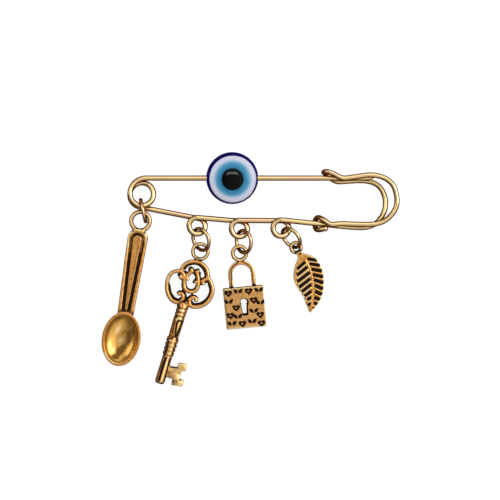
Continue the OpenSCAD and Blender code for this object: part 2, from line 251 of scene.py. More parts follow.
def paintRelief(piece, reach, depth, cell, shine):
    # oxideAndShade: how far a spot lies below the highest one near it, for the oxide in its hollows; painted
    # shade is added to the same number elsewhere
    # wearAndHighlight: how far it stands above its surroundings, for worn bright metal; painted highlights
    # are added to the same number elsewhere
    places, normals = meshArrays(piece)
    pad = int(reach / cell) + 2
    low = places.min(0)
    column = ((places[:, 0] - low[0]) / cell).astype(int) + pad
    row = ((places[:, 1] - low[1]) / cell).astype(int) + pad
    size = (column.max() + pad + 1, row.max() + pad + 1)
    top = np.full(size, low[2], np.float32)
    np.maximum.at(top, (column, row), places[:, 2])
    high, total, weight = top.copy(), np.zeros(size), 0
    for dx in range(-pad + 2, pad - 1):
        for dy in range(-pad + 2, pad - 1):
            if dx * dx + dy * dy <= (reach / cell) ** 2:
                near = np.roll(top, (dx, dy), (0, 1))
                high = np.maximum(high, near)
                total += near
                weight += 1
    mean = total / weight
    oxideAndShade = np.clip((high[column, row] - places[:, 2]) / depth, 0, 1)
    oxideAndShade = np.where(normals[:, 2] < -0.3, 0.4, oxideAndShade)  # the underside is evenly half stained
    up = np.clip(normals[:, 2] * 1.5, 0, 1)
    wearAndHighlight = np.clip((places[:, 2] - mean[column, row]) / depth, 0, 1) * up * shine
    paintNumbers(piece, "oxideAndShade", oxideAndShade)
    paintNumbers(piece, "wearAndHighlight", wearAndHighlight)


def readNumbers(piece, name):
    values = np.empty(len(piece.data.vertices), np.float32)
    piece.data.attributes[name].data.foreach_get("value", values)
    return values


def distanceTo(flat, lines):
    near = np.full(len(flat), far)
    for line in lines:
        for a, b in zip(line, line[1:]):
            a, b = np.array(a[:2]), np.array(b[:2])
            way = b - a
            share = np.clip((flat - a) @ way / max(way @ way, 1e-9), 0, 1)
            near = np.minimum(near, np.hypot(*(flat - a - share[:, None] * way).T))
    return near


def paintLines(piece, name, lines, reach, strength, above=-far, soft=0.4):
    # a band along the lines, on what looks up and lies above the given height
    places, normals = meshArrays(piece)
    band = np.clip((reach - distanceTo(places[:, :2], lines)) / (soft * reach), 0, 1) * strength
    band = np.where((normals[:, 2] > 0.1) & (places[:, 2] > above), band, 0)
    paintNumbers(piece, name, np.maximum(readNumbers(piece, name), band))


def calmLines(piece, name, lines, reach, keep):  # lessens a painted number along the lines
    values = readNumbers(piece, name)
    near = distanceTo(meshArrays(piece)[0][:, :2], lines)
    paintNumbers(piece, name, np.where(near < reach, values * keep, values))


def blot(places, spot, long, wide, lean):  # a soft oval patch, 1 in its middle
    away = places[:, :2] - np.array(spot)
    way = np.array((math.cos(math.radians(lean)), math.sin(math.radians(lean))))
    side = np.array((-way[1], way[0]))
    return np.exp(-((away @ way / long) ** 2 + (away @ side / wide) ** 2))


def moveMesh(piece, places):
    piece.data.vertices.foreach_set("co", places.ravel())
    piece.data.update()


def crown(piece, lines, reach, height, above):  # rounds up the metal along the lines
    places, normals = meshArrays(piece)
    near = distanceTo(places[:, :2], lines)
    lift = height * np.clip(1 - (near / reach) ** 2, 0, 1) * (normals[:, 2] > 0.4) * (places[:, 2] > above)
    places[:, 2] += lift
    moveMesh(piece, places)


def press(piece, spots, share, depth):  # lowers the chosen points and stains them
    places = meshArrays(piece)[0]
    oxideAndShade = readNumbers(piece, "oxideAndShade")
    places[spots, 2] -= depth * share
    oxideAndShade[spots] = np.maximum(oxideAndShade[spots], share)
    moveMesh(piece, places)
    paintNumbers(piece, "oxideAndShade", oxideAndShade)


def engrave(piece, lines, width, depth, above, slope=0.08):  # slope: width of the groove's leaning sides
    places, normals = meshArrays(piece)
    spots = np.flatnonzero((normals[:, 2] > 0.25) & (places[:, 2] > above))
    near = distanceTo(places[spots, :2], lines)
    press(piece, spots, np.clip((width / 2 - near) / slope + 0.5, 0, 1), depth)


def punch(piece, outlines, depth, above, slope=0.09):
    # presses closed outlines into the top, inner ones stand up again
    places, normals = meshArrays(piece)
    low, high = np.min(outlines[0], 0) - 0.1, np.max(outlines[0], 0) + 0.1
    flat = places[:, :2]
    spots = np.flatnonzero((normals[:, 2] > 0.5) & (places[:, 2] > above)
                           & (flat > low).all(1) & (flat < high).all(1))
    x, y = flat[spots].T
    inside = np.zeros(len(spots), bool)
    for outline in outlines:
        for (ax, ay), (bx, by) in zip(outline, outline[1:] + outline[:1]):
            if ay != by:
                inside ^= ((ay > y) != (by > y)) & (x < ax + (bx - ax) * (y - ay) / (by - ay))
    near = distanceTo(flat[spots], [outline + outline[:1] for outline in outlines])
    press(piece, spots, np.clip(np.where(inside, near, -near) / slope + 0.5, 0, 1), depth)


def settle(piece, place, body, material, node):
    # finished piece: its place goes into its mesh, and it stands for its node
    piece.data.transform(Matrix.Diagonal((mm, mm, mm, 1)) @ place)
    piece.data.update()
    piece.data.materials.clear()
    piece.data.materials.append(material)
    pick(piece)
    bpy.ops.object.shade_smooth_by_angle(angle=math.radians(sharpFrom))
    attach(piece, body)
    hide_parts(node)


# materials

def newMaterial(name):
    material = bpy.data.materials.new(name)
    material.use_nodes = True
    tree = material.node_tree
    return material, tree, tree.nodes["Principled BSDF"]


def addNode(tree, kind, **settings):
    node = tree.nodes.new(kind)
    for name, value in settings.items():
        setattr(node, name, value)
    return node


def setSockets(node, values):  # plain values, or links from other nodes' outputs
    for name, value in values.items():
        if isinstance(value, bpy.types.NodeSocket):
            node.id_data.links.new(value, node.inputs[name])
        else:
            node.inputs[name].default_value = value


def addNoise(tree, spot, scale, detail):
    noise = addNode(tree, "ShaderNodeTexNoise")
    setSockets(noise, {"Vector": spot, "Scale": scale, "Detail": detail})
    return noise.outputs["Fac"]


def paintedNumber(tree, name):
    return addNode(tree, "ShaderNodeAttribute", attribute_name=name).outputs["Fac"]


def mixColours(tree, factor, first, second):
    mix = addNode(tree, "ShaderNodeMix", data_type="RGBA")
    setSockets(mix, {0: factor, 6: first, 7: second})
    return mix.outputs[2]


def rangeOf(tree, value, fromLow, fromHigh, toLow=0.0, toHigh=1.0):
    node = addNode(tree, "ShaderNodeMapRange", interpolation_type="SMOOTHSTEP")
    setSockets(node, {"Value": value, "From Min": fromLow, "From Max": fromHigh,
                      "To Min": toLow, "To Max": toHigh})
    return node.outputs["Result"]


def reckon(tree, operation, first, second):
    node = addNode(tree, "ShaderNodeMath", operation=operation, use_clamp=operation != "MULTIPLY")
    setSockets(node, {0: first, 1: second})
    return node.outputs[0]


wireFinish = {
    "gold": (1.0, 0.74, 0.35, 1),
    "rosy": (1.0, 0.66, 0.38, 1),
    "shade": (0.42, 0.19, 0.025, 1),  # painted shade, warmer and darker towards the underside
    "edge": (0.42, 0.22, 0.05, 1),
    "rough": (0.2, 0.22),
    "grain": 900,
    "patches": 140,
    "rosyFrom": (0.45, 0.62),  # range of the noise over which it changes, as the next
    "roughFrom": (0.3, 0.7),
}


def makeWireGold():
    material, tree, shader = newMaterial("wireGold")
    spot = addNode(tree, "ShaderNodeTexCoord").outputs["Object"]
    grain = addNoise(tree, spot, wireFinish["grain"], 2)
    patches = rangeOf(tree, addNoise(tree, spot, wireFinish["patches"], 2), *wireFinish["rosyFrom"])
    plating = mixColours(tree, patches, wireFinish["gold"], wireFinish["rosy"])
    # painted shade: the wire turns darker and warmer down its sides
    colour = mixColours(tree, paintedNumber(tree, "underShade"), plating, wireFinish["shade"])
    rough = rangeOf(tree, grain, *wireFinish["roughFrom"], *wireFinish["rough"])
    setSockets(shader, {"Base Color": colour, "Roughness": rough, "Metallic": 1,
                        "Specular Tint": wireFinish["edge"]})
    return material


castFinish = {
    "gold": (0.94, 0.46, 0.13, 1),
    "brown": (0.70, 0.30, 0.075, 1),
    # bright serves worn metal and painted highlights; dark serves oxide and painted shade
    "bright": (1.0, 0.73, 0.34, 1),
    "dark": (0.010, 0.007, 0.005, 1),
    "burnished": (0.80, 0.43, 0.10, 1),
    "stain": (0.17, 0.075, 0.012, 1),
    "edge": (0.5, 0.32, 0.16, 1),
    "mottle": 1700,
    "pits": 3800,
    "pitHeight": 0.00004,
    "pitted": 0.3,
    "brownFrom": (0.38, 0.66),  # range over which it sets in, as the next two
    "brightFrom": (0.08, 0.6),
    "darkFrom": (0.25, 0.7),
    "sootGrain": (0.35, 0.7, -0.1, 0.1),  # range of the pits, and what they add to the oxide
    "metal": (1, 0.2),  # where it is bare and where oxide and painted shade darken it, as the next
    "rough": (0.32, 0.6),
    "polished": 0.1,  # how much smoother where it is burnished
}


def makeCastGold():
    material, tree, shader = newMaterial("castGold")
    spot = addNode(tree, "ShaderNodeTexCoord").outputs["Object"]
    oxideAndShade, wearAndHighlight, polish = (paintedNumber(tree, name) for name in ("oxideAndShade", "wearAndHighlight", "polish"))
    mottle = addNoise(tree, spot, castFinish["mottle"], 4)
    pits = addNoise(tree, spot, castFinish["pits"], 5)
    browned = rangeOf(tree, mottle, *castFinish["brownFrom"])
    ground = mixColours(tree, browned, castFinish["gold"], castFinish["brown"])
    ground = mixColours(tree, polish, ground, castFinish["burnished"])
    # the bright colour, for worn metal and painted highlights
    highlightAndWearColour = mixColours(tree, rangeOf(tree, wearAndHighlight, *castFinish["brightFrom"]), ground, castFinish["bright"])
    # the darkening, for oxide in hollows and painted shade
    shadeAndOxideAmount = reckon(tree, "ADD", oxideAndShade, rangeOf(tree, pits, *castFinish["sootGrain"]))
    dark = rangeOf(tree, shadeAndOxideAmount, *castFinish["darkFrom"])
    shadeAndOxideColour = mixColours(tree, polish, castFinish["dark"], castFinish["stain"])
    metal = rangeOf(tree, dark, 0, 1, *castFinish["metal"])
    rough = reckon(tree, "SUBTRACT", rangeOf(tree, dark, 0, 1, *castFinish["rough"]),
                   rangeOf(tree, polish, 0, 1, 0, castFinish["polished"]))
    bump = addNode(tree, "ShaderNodeBump")
    setSockets(bump, {"Height": pits, "Strength": castFinish["pitted"], "Distance": castFinish["pitHeight"]})
    setSockets(shader, {"Base Color": mixColours(tree, dark, highlightAndWearColour, shadeAndOxideColour), "Metallic": metal,
                        "Roughness": rough, "Specular Tint": castFinish["edge"],
                        "Normal": bump.outputs["Normal"]})
    return material


wireGold = makeWireGold()
castGold = makeCastGold()
print("materials made")


# wire pin: the same route as in the frame, drawn finer

pin = {
    "wire": 1.25,
    "armHeight": 3.0,
    "armPlace": 23.25,
    "lean": 6.0,
    "coilMiddle": (-24.95, 19.6),
    "coilRadius": 2.7,
    "coilLeave": 2.9,  # radius where it leaves for the first loop
    "coilWidens": (270, 168),  # where it starts to widen, and over how many degrees
    "coilPitch": 1.5,
    "coilSplit": 240,
    "coilCut": 1.8,
    "coilSteps": 48,
    "leadOffset": 0.95,  # how much wider the arm's lead into the coil is
    "leadSteps": 24,
    "loopRadius": 1.85,
    "loopRise": 1.56,
    "loopSteps": 56,
    "loops": [(-12.2, 12.3), (-2.45, 11.65), (7.15, 11.75)],
    "backHeight": -1.35,  # of the back wire, from the arm
    "wrapMiddle": (16.3, 12.75, -1.35),
    "wrapHeading": -6.5,
    "wrapRadius": 1.4,
    "claspSteps": 9,
    "tip": 28.6,
    "tipWidth": 0.12,  # share of the wire's width
    "taper": 2.4,
    "taperSteps": 8,
    "armSteps": 40,
    "armCoilSteps": 60,
}
innerBends = [
    (20.2, 12.3, -1.35), (24.5, 11.95, -1.4), (27.2, 12.1, -1.4), (29.3, 13.15, -1.4),
    (30.75, 15.1, -1.4), (31.3, 17.3, -1.4), (31.05, 19.3, -1.4), (30.1, 21.2, -1.4), (28.4, 22.4, -1.4),
    (25.9, 22.85, -1.4), (23, 22.75, -1.4), (20.5, 22.6, -1.4),
]
hookBends = [
    (19.2, 23.05, -1.4), (18.2, 23.95, -1.3), (17.4, 24.5, -0.9), (17.05, 24.6, 0), (17.4, 24.62, 0.95),
    (18.2, 24.45, 1.35), (19.3, 24, 1.35), (20.6, 23.3, 1.35),
]
outerBends = [
    (21.8, 23.05, 1.35), (24.2, 23.35, 1.38), (27.9, 23.78, 1.38), (31, 23.05, 1.3), (33, 21.2, 1.15),
    (33.78, 18.1, 0.9), (33.3, 15.8, 0.6), (31.4, 13.6, 0.35), (28.8, 12.6, 0.2), (25, 12.5, 0.1),
    (21, 12.65, 0.05),
]
wrapTurns = [
    (90, 2.3), (60, 0.9), (30, -0.1), (0, -0.8), (-45, -1.25), (-90, -1.3), (-135, -1), (-180, -0.45),
    (-205, 0.3), (-222, 1.2),
]
leaned = (
    Matrix.Translation(Vector((0, pin["armPlace"], pin["armHeight"])) - sheetMiddle)
    @ Matrix.Rotation(math.radians(-pin["lean"]), 4, "X")
    @ Matrix.Translation((0, -pin["armPlace"], 0))
)


def around(middle, radius, angle):
    angle = math.radians(angle)
    return middle[0] + radius * math.cos(angle), middle[1] + radius * math.sin(angle)


def headingOf(a, b):
    return math.degrees(math.atan2(b[1] - a[1], b[0] - a[0]))


def coilRun(start, end, count):
    run = []
    widenFrom, widenOver = pin["coilWidens"]
    for i in range(count + 1):
        turn = start + (end - start) * i / count
        grow = (pin["coilLeave"] - pin["coilRadius"]) * max(0, turn - widenFrom) / widenOver
        run.append(Vector((*around(pin["coilMiddle"], pin["coilRadius"] + grow, 180 + turn),
                           -pin["coilPitch"] * turn / 360)))
    return run


def loopRun(middle, enter, leave, count):
    return [
        Vector((*around(middle, pin["loopRadius"], 90 + enter + (leave - enter - 360) * j / count),
                pin["backHeight"] + pin["loopRise"] * (j / count - 0.5)))
        for j in range(count + 1)
    ]


def wrapPoint(turn, along):
    heading, angle = math.radians(pin["wrapHeading"]), math.radians(turn)
    way = Vector((math.cos(heading), math.sin(heading), 0))
    up = Vector((-way.y, way.x, 0))
    return (Vector(pin["wrapMiddle"]) + along * way
            + pin["wrapRadius"] * (math.cos(angle) * up + math.sin(angle) * Vector((0, 0, 1))))


def frameRun():
    loops = pin["loops"]
    gap = (Vector(loops[0]) - Vector(pin["coilMiddle"])).length
    first = headingOf(pin["coilMiddle"], loops[0]) + math.degrees(
        math.asin((pin["coilLeave"] + pin["loopRadius"]) / gap))
    headings = [first, headingOf(loops[0], loops[1]), headingOf(loops[1], loops[2]), pin["wrapHeading"]]
    run = coilRun(pin["coilSplit"] + pin["coilCut"], 450 + first, pin["coilSteps"])
    for i, middle in enumerate(loops):
        run += loopRun(middle, headings[i], headings[i + 1], pin["loopSteps"])
    last, wrap = run[-1], Vector(pin["wrapMiddle"])
    clasp = smoothRun(
        [last, (last + wrap) / 2, wrap] + innerBends + hookBends + outerBends
        + [wrapPoint(turn, along) for turn, along in wrapTurns], pin["claspSteps"])
    return run + clasp[1:]


def armRun():  # point, straight arm, lead into the coil and the coil's front half
    place, taperSteps = pin["armPlace"], pin["taperSteps"]
    armSteps, leadSteps = pin["armSteps"], pin["leadSteps"]
    leadMiddle = (pin["coilMiddle"][0] + pin["leadOffset"], pin["coilMiddle"][1])
    leadRadius = pin["coilRadius"] + pin["leadOffset"]
    run, widths = [], []
    for i in range(taperSteps + 1):
        share = i / taperSteps
        run.append(Vector((pin["tip"] - pin["taper"] * share, place, 0)))
        widths.append(pin["tipWidth"] + (1 - pin["tipWidth"]) * math.sin(share * math.pi / 2))
    start, end = run[-1], Vector((leadMiddle[0], place, 0))
    run += [start + (end - start) * i / armSteps for i in range(1, armSteps)]
    run += [Vector((*around(leadMiddle, leadRadius, 90 + 90 * i / leadSteps), 0)) for i in range(leadSteps)]
    run += coilRun(0, pin["coilSplit"], pin["armCoilSteps"])
    return run, widths + [1.0] * (len(run) - len(widths))


def paintWireShade(piece):  # painted shade: 0 where the wire looks straight up, 1 from 60 degrees down its side
    normals = meshArrays(piece)[1]
    paintNumbers(piece, "underShade", np.clip((0.98 - normals[:, 2]) / 0.5, 0, 1))


def makeWire(name, points, widths, body, node):
    wire = wireAlong(name, points, pin["wire"], widths)
    paintWireShade(wire)
    settle(wire, leaned, body, wireGold, node)


makeWire("frameWire", *roundedEnds(frameRun(), pin["wire"] / 2, start=False), "pin_frame", "frame_wire")
makeWire("pinArm", *armRun(), "pin_arm", "pin_arm")
print("wire pin made")


# jump rings: round wire with a cut

rings = {
    "across": 6.0,
    "wire": 0.85,
    "cut": 1.6,  # degrees left open
    "steps": 96,
    "places": {  # middle, direction of the raised side, how far it is raised, where the cut lies
        "Spoon": ((-24.635, 15.72, 3.03), 12.8, 88, 200),
        "Key": ((-11.32, 9.1, 2.66), 21.4, 47.1, 300),
        "Lock": ((-1.445, 8.59, 3.275), 5.8, 49.5, 300),
        "Leaf": ((9.525, 9.475, 2.9), 40.2, 54.9, 330),
    },
}


def makeRing(label, place):
    middle, turn, tilt, cutAt = place
    radius = (rings["across"] - rings["wire"]) / 2
    start, sweep, steps = cutAt + rings["cut"] / 2, 360 - rings["cut"], rings["steps"]
    run = [(*around((0, 0), radius, start + sweep * i / steps), 0) for i in range(steps + 1)]
    ring = wireAlong("jumpRing" + label, run, rings["wire"], sides=6)
    matrix = (
        Matrix.Translation(Vector(middle) - sheetMiddle)
        @ Matrix.Rotation(math.radians(turn), 4, "Z")
        @ Matrix.Rotation(math.radians(-tilt), 4, "Y")
    )
    ring.data.transform(matrix)
    ring.data.update()
    paintWireShade(ring)
    settle(ring, Matrix.Identity(4), "pin_frame", wireGold, "jump_ring_" + label.lower())


for label, place in rings["places"].items():
    makeRing(label, place)
print("jump rings made")


# eye bead

bead = {
    "across": 12.0,
    "thick": 6.0,
    "rim": 2.2,
    "bore": 1.4,
    "place": (-4.1, 23.25, 3.0),
    "pupilRadius": 2.5,
    "pupilGroove": (0.05, 0.16),  # depth, half width
    "steps": (24, 26),  # points on the face and round the rim
    "ringMiddle": (0.15, -0.27),  # the printed rings sit a little off the bead's middle
    "irisMiddle": (0.1, -0.36),
    "navyFrom": (5.31, 5.5),  # distances over which each colour takes over
    "whiteFrom": (3.65, 4.85),
    "paleFrom": (2.5, 4.3),
    "irisFrom": (2.5, 2.72),
    "wobble": 0.12,  # unsteadiness of the rings' edges
    "wobbleScale": 500,
    "navy": (0.003, 0.002, 0.088, 1),
    "white": (0.57, 0.58, 0.70, 1),
    "blue": (0.016, 0.155, 0.30, 1),
    "paleBlue": (0.085, 0.31, 0.47, 1),
    "pupil": (0.001, 0.0012, 0.0016, 1),
    "gloss": {"Roughness": 0.12, "Specular IOR Level": 0, "Coat Weight": 0.22, "Coat Roughness": 0.08},
}


def beadProfile():
    rim, half = bead["rim"], bead["thick"] / 2
    (grooveDepth, grooveWidth), (faceSteps, rimSteps) = bead["pupilGroove"], bead["steps"]
    out = bead["across"] / 2 - rim
    drop = (out * out - (half - rim) ** 2) / (2 * (half - rim))
    dome = half + drop
    edge = math.degrees(math.atan2(drop, out))
    face = []
    for i in range(faceSteps + 1):
        angle = math.radians(90 - (90 - edge) * i / faceSteps)
        radius, height = dome * math.cos(angle), dome * math.sin(angle) - drop
        if i > 0:
            height -= grooveDepth * math.exp(-((radius - bead["pupilRadius"]) / grooveWidth) ** 2)
        face.append((radius, height))
    side = [around((out, 0), rim, angle) for angle in np.linspace(edge, -edge, rimSteps + 1)[1:-1]]
    return face + side + [(r, -h) for r, h in reversed(face)]


def makeEyeResin(place):
    material, tree, shader = newMaterial("eyeResin")
    spot = addNode(tree, "ShaderNodeTexCoord").outputs["Object"]
    shaky = addNoise(tree, spot, bead["wobbleScale"], 2)

    def distanceFrom(x, y):
        shift = addNode(tree, "ShaderNodeMapping", vector_type="POINT")
        setSockets(shift, {"Vector": spot, "Location": (-(place[0] + x) * mm, -(place[1] + y) * mm, 0),
                           "Scale": (1, 1, 0)})
        length = addNode(tree, "ShaderNodeVectorMath", operation="LENGTH")
        setSockets(length, {0: shift.outputs["Vector"]})
        wobble = reckon(tree, "MULTIPLY", shaky, bead["wobble"] * mm)
        total = addNode(tree, "ShaderNodeMath", operation="ADD")
        setSockets(total, {0: length.outputs["Value"], 1: wobble})
        return total.outputs[0]

    def outside(distance, edge):
        return rangeOf(tree, distance, bead[edge][0] * mm, bead[edge][1] * mm)

    ring, middle = distanceFrom(*bead["ringMiddle"]), distanceFrom(*bead["irisMiddle"])
    colour = mixColours(tree, outside(ring, "navyFrom"), bead["white"], bead["navy"])
    iris = mixColours(tree, outside(middle, "paleFrom"), bead["blue"], bead["paleBlue"])
    colour = mixColours(tree, outside(ring, "whiteFrom"), iris, colour)
    colour = mixColours(tree, outside(middle, "irisFrom"), bead["pupil"], colour)
    setSockets(shader, {"Base Color": colour, **bead["gloss"]})
    return material


beadPlace = Vector(bead["place"]) - sheetMiddle
eyeBead = turned("eyeBead", beadProfile(), steps=128, axis="Z")
bpy.ops.mesh.primitive_cylinder_add(vertices=64, radius=bead["bore"] / 2, depth=bead["across"] + 2,
                                    rotation=(0, math.pi / 2, 0))
cutOut(eyeBead, bpy.context.object)
settle(eyeBead, Matrix.Translation(beadPlace), "pin_arm", makeEyeResin(beadPlace), "eye_bead")
print("eye bead made")


# charms: each hangs from its eye and leans until its far end rests on the surface

eyes = {
    "swell": 0.08,  # made up for when the casting is smoothed
    "plain": (0.7, 0.2),  # reach in bar widths, and what is left of the worn and highlighted look
    "shine": (0.4, 0.85),  # painted highlight along the ring's middle: reach in bar widths, strength
    "inner": 0.45,  # from the bar's middle to its inner stain, in bar widths
    "innerStain": (0.2, 0.75),  # reach, strength
    "footStain": (0.22, 0.8),
    "footCorner": [(0, 0.42), (0.35, 0.3)],  # ends of the foot's stain, outwards and below the bar's middle
}


def eyeRing(charm, height):
    deselectAll()
    bpy.ops.mesh.primitive_torus_add(
        location=(0, 0, height), major_segments=72, minor_segments=24,
        major_radius=charm["eyeRadius"], minor_radius=charm["eyeBar"] / 2 + eyes["swell"])
    ring = bpy.context.object
    applyPlace(ring)
    return ring


def castOf(name, parts, charm):  # melts the parts into one casting and reads off its recesses and ridges
    cast = joinAll(name, parts)
    fuse(cast, *charm["melt"])
    paintRelief(cast, *charm["relief"])
    return cast


def stainAndHighlightEye(cast, charm, foot=0.4):  # oxide inside the eye and where it meets the body, and a painted highlight along the ring's middle
    radius, bar = charm["eyeRadius"], charm["eyeBar"]
    circle = [around((0, 0), radius, 10 * i) for i in range(37)]
    inner = [around((0, 0), radius - eyes["inner"] * bar, 10 * i) for i in range(37)]
    calmLines(cast, "wearAndHighlight", [circle], bar * eyes["plain"][0], eyes["plain"][1])
    # painted highlight along the ring's middle
    paintLines(cast, "wearAndHighlight", [circle], bar * eyes["shine"][0], eyes["shine"][1], soft=1)
    paintLines(cast, "oxideAndShade", [inner], *eyes["innerStain"])
    for side in (-1, 1):
        corner = [(side * (foot + out), -radius - down) for out, down in eyes["footCorner"]]
        paintLines(cast, "oxideAndShade", [corner], *eyes["footStain"])


def hangCharm(cast, charm, eyeHeight, reach, node):
    lift = math.asin((charm["eye"][2] - eyeHeight) / reach)
    place = (
        Matrix.Translation(Vector(charm["eye"]) - sheetMiddle)
        @ Matrix.Rotation(math.radians(charm["turn"]), 4, "Z")
        @ Matrix.Rotation(lift, 4, "X")
        @ Matrix.Translation((0, 0, -eyeHeight))
    )
    settle(cast, place, "pin_frame", castGold, node)


# spoon

spoon = {
    "eye": (-25.34, 13.34, 1.41),
    "turn": -9.2,
    "eyeRadius": 2.15,
    "eyeBar": 0.86,
    "length": 33.9,
    "bowlWidth": 9.0,
    "bowlLength": 12.6,
    "bowlDepth": 2.4,
    "bowlWall": 0.7,
    "handleTop": 4.7,
    "handleNeck": 3.7,
    "outline": (-1.75, -0.75, 0, 0),  # top, past the neck, narrower at the top, narrower at the neck
    "channel": (-2.8, 0.4, 1.3, 1.755),
    "panel": (-3.35, -0.1, 2.7, 3.15),
    "low": 0.7,
    "sunk": 1.25,  # where the rim and the panel start, inside the base
    "floor": 1.55,
    "panelHigh": 2.05,
    "high": 2.1,
    "rounded": (0.2, 0.26, 0.12),  # edges of the base, the rim and the panel
    "melt": (0.085, 4, 0.5),  # grain, rounds of smoothing, their strength
    "relief": (0.7, 0.55, 0.13, 0.12),  # reach, depth, cell, shine
    "burnished": (0.91, 0.06),  # share of the bowl, soft edge
    "wallStainAndShade": (0.93, 0.07, 0.55),  # a darker band round the bowl's wall, stain and painted dark reflection: place in the bowl, half width, strength
}


def tongue(top, pastNeck, topInset, neckInset):  # the handle's outline, or one inside it
    half, foot = (spoon["handleTop"] - topInset) / 2, (spoon["handleNeck"] - neckInset) / 2
    bottom = spoon["bowlLength"] - spoon["length"] + pastNeck
    arch = [around((0, top - half), half, a) for a in range(0, 181, 6)]
    return arch + [(-foot, bottom), (foot, bottom)]


def makeBowl():
    deselectAll()
    bpy.ops.mesh.primitive_uv_sphere_add(segments=96, ring_count=64, radius=1)
    bowl = bpy.context.object
    bpy.ops.object.mode_set(mode="EDIT")
    bpy.ops.mesh.select_all(action="SELECT")
    bpy.ops.mesh.bisect(plane_co=(0, 0, 0), plane_no=(0, 0, 1), clear_outer=True)
    bpy.ops.object.mode_set(mode="OBJECT")
    bowl.scale = (spoon["bowlWidth"] / 2, spoon["bowlLength"] / 2, spoon["bowlDepth"])
    bowl.location = (0, spoon["bowlLength"] / 2 - spoon["length"], spoon["bowlDepth"])
    applyPlace(bowl)
    wall = bowl.modifiers.new("wall", "SOLIDIFY")
    wall.thickness = spoon["bowlWall"]
    wall.offset = -1
    wall.use_even_offset = True
    applyModifiers(bowl)
    return bowl


def makeSpoon():
    outline, channel, panel = (tongue(*spoon[name]) for name in ("outline", "channel", "panel"))
    baseSoft, rimSoft, panelSoft = spoon["rounded"]
    cast = castOf("spoonCharm", [
        plate("handleBase", [outline], spoon["low"], spoon["floor"], baseSoft),
        plate("handleRim", [outline, channel], spoon["sunk"], spoon["high"], rimSoft),
        plate("handlePanel", [panel], spoon["sunk"], spoon["panelHigh"], panelSoft),
        makeBowl(),
        eyeRing(spoon, spoon["eye"][2]),
    ], spoon)
    paintHandle(cast)
    paintBowl(cast)
    stainAndHighlightEye(cast, spoon, foot=1.25)
    hangCharm(cast, spoon, spoon["eye"][2], spoon["length"], "spoon_charm")


handleOxideShadeAndHighlights = [  # number, line, reach, strength: oxide in the channel and painted shade along the left outer edge (oxideAndShade), painted highlights on the rim (wearAndHighlight)
    ("oxideAndShade", [(139.6, 238), (125.6, 311)], 0.6, 0.46),
    ("oxideAndShade", [(119.4, 308), (121.8, 288.6), (124.4, 267.7), (127.2, 246.8), (129.4, 236)], 0.5, 0.42),
    ("oxideAndShade", [(144.6, 238), (143, 248.9), (137.9, 271.9), (133.2, 294.9), (130.8, 310)], 0.5, 0.42),
    ("oxideAndShade", [(117.6, 308), (120.3, 288.6), (122.9, 267.7), (125.7, 246.8), (127.2, 237.4)], 0.2, 0.55),
    ("wearAndHighlight", [(119.6, 306), (122, 288.6), (124.6, 267.7), (127.6, 246.8), (129, 236.6)], 0.2, 0.45),
    ("wearAndHighlight", [(127.6, 246.8), (128.7, 235.6), (131.2, 232.2), (136.6, 230.5), (142.4, 231.6), (145.3, 235),
               (145, 242)], 0.34, 1),
    ("wearAndHighlight", [(132.8, 239), (133.6, 236.2), (136.8, 234.9), (140.2, 236.2), (140.6, 239)], 0.2, 0.9),
    ("wearAndHighlight", [(132.8, 239), (130.2, 262), (126.6, 290)], 0.14, 0.5),
    ("wearAndHighlight", [(142.6, 250), (137.6, 271.9), (133, 294.9)], 0.16, 0.4),
]
handleArch = [  # the rim round the handle's top, kept free of oxide
    (127.6, 243), (128.7, 235.6), (131.2, 232.2), (136.6, 230.4), (142.4, 231.5), (145.3, 235), (145.2, 240),
]
handleFloor = [  # channel floor from its top, kept lighter there
    [(126, 276), (130.6, 243), (131.6, 236), (136.8, 231.9), (142, 235.6), (142, 243), (135.6, 276)],
    [(129.4, 252), (131.6, 236), (136.8, 231.9), (142, 235.6), (140.4, 252)],
]
bowlStainsAndReflections = [  # stains and painted dark reflections (oxideAndShade) and painted highlights (wearAndHighlight) in the bowl: number, middle, half length and width, lean, strength
    ("oxideAndShade", (117, 318), 9.0, 4.6, 28, 0.72), ("oxideAndShade", (128.4, 336.4), 9.0, 3.6, 86, 0.95),
    ("oxideAndShade", (134, 331), 11, 2.6, 96, 0.7), ("oxideAndShade", (121.6, 348.6), 7.0, 3.8, 50, 0.74),
    ("oxideAndShade", (114, 357.6), 7.5, 2.8, -14, 0.56), ("oxideAndShade", (105.4, 331), 10.0, 3.0, 80, 0.56),
    ("oxideAndShade", (122.6, 332.8), 4.4, 2.0, 50, 0.56), ("oxideAndShade", (112.6, 333), 7.0, 1.5, 72, 0.34),
    ("oxideAndShade", (116, 345), 5.0, 1.4, 98, 0.36), ("oxideAndShade", (127, 320), 5.0, 3.6, -30, 0.44),
    ("oxideAndShade", (118.6, 353), 7.0, 5.0, 20, 0.42), ("oxideAndShade", (129.6, 352), 8.0, 3.4, 60, 0.2),
    ("wearAndHighlight", (117.6, 329.4), 5.4, 2.6, 68, 0.6), ("wearAndHighlight", (120.4, 340.6), 4.0, 2.6, 58, 0.6),
    ("wearAndHighlight", (113.4, 350), 5.0, 1.6, 84, 0.4),
]
bowlLip = [(104.4, 353), (107.4, 358), (112.4, 361.8), (118.6, 362.8), (125, 361), (130, 357), (133.4, 351.4)]


def paintHandle(cast):
    calmLines(cast, "oxideAndShade", [curveFromPhoto(spoon, handleArch, 3)], reach=0.44, keep=0.1)
    # oxide, painted shade and painted highlights along the handle
    for name, line, reach, strength in handleOxideShadeAndHighlights:
        paintLines(cast, name, [curveFromPhoto(spoon, line, 3)], reach, strength, soft=0.8)
    for line in handleFloor:
        calmLines(cast, "oxideAndShade", [curveFromPhoto(spoon, line, 3)], reach=0.26, keep=0.78)


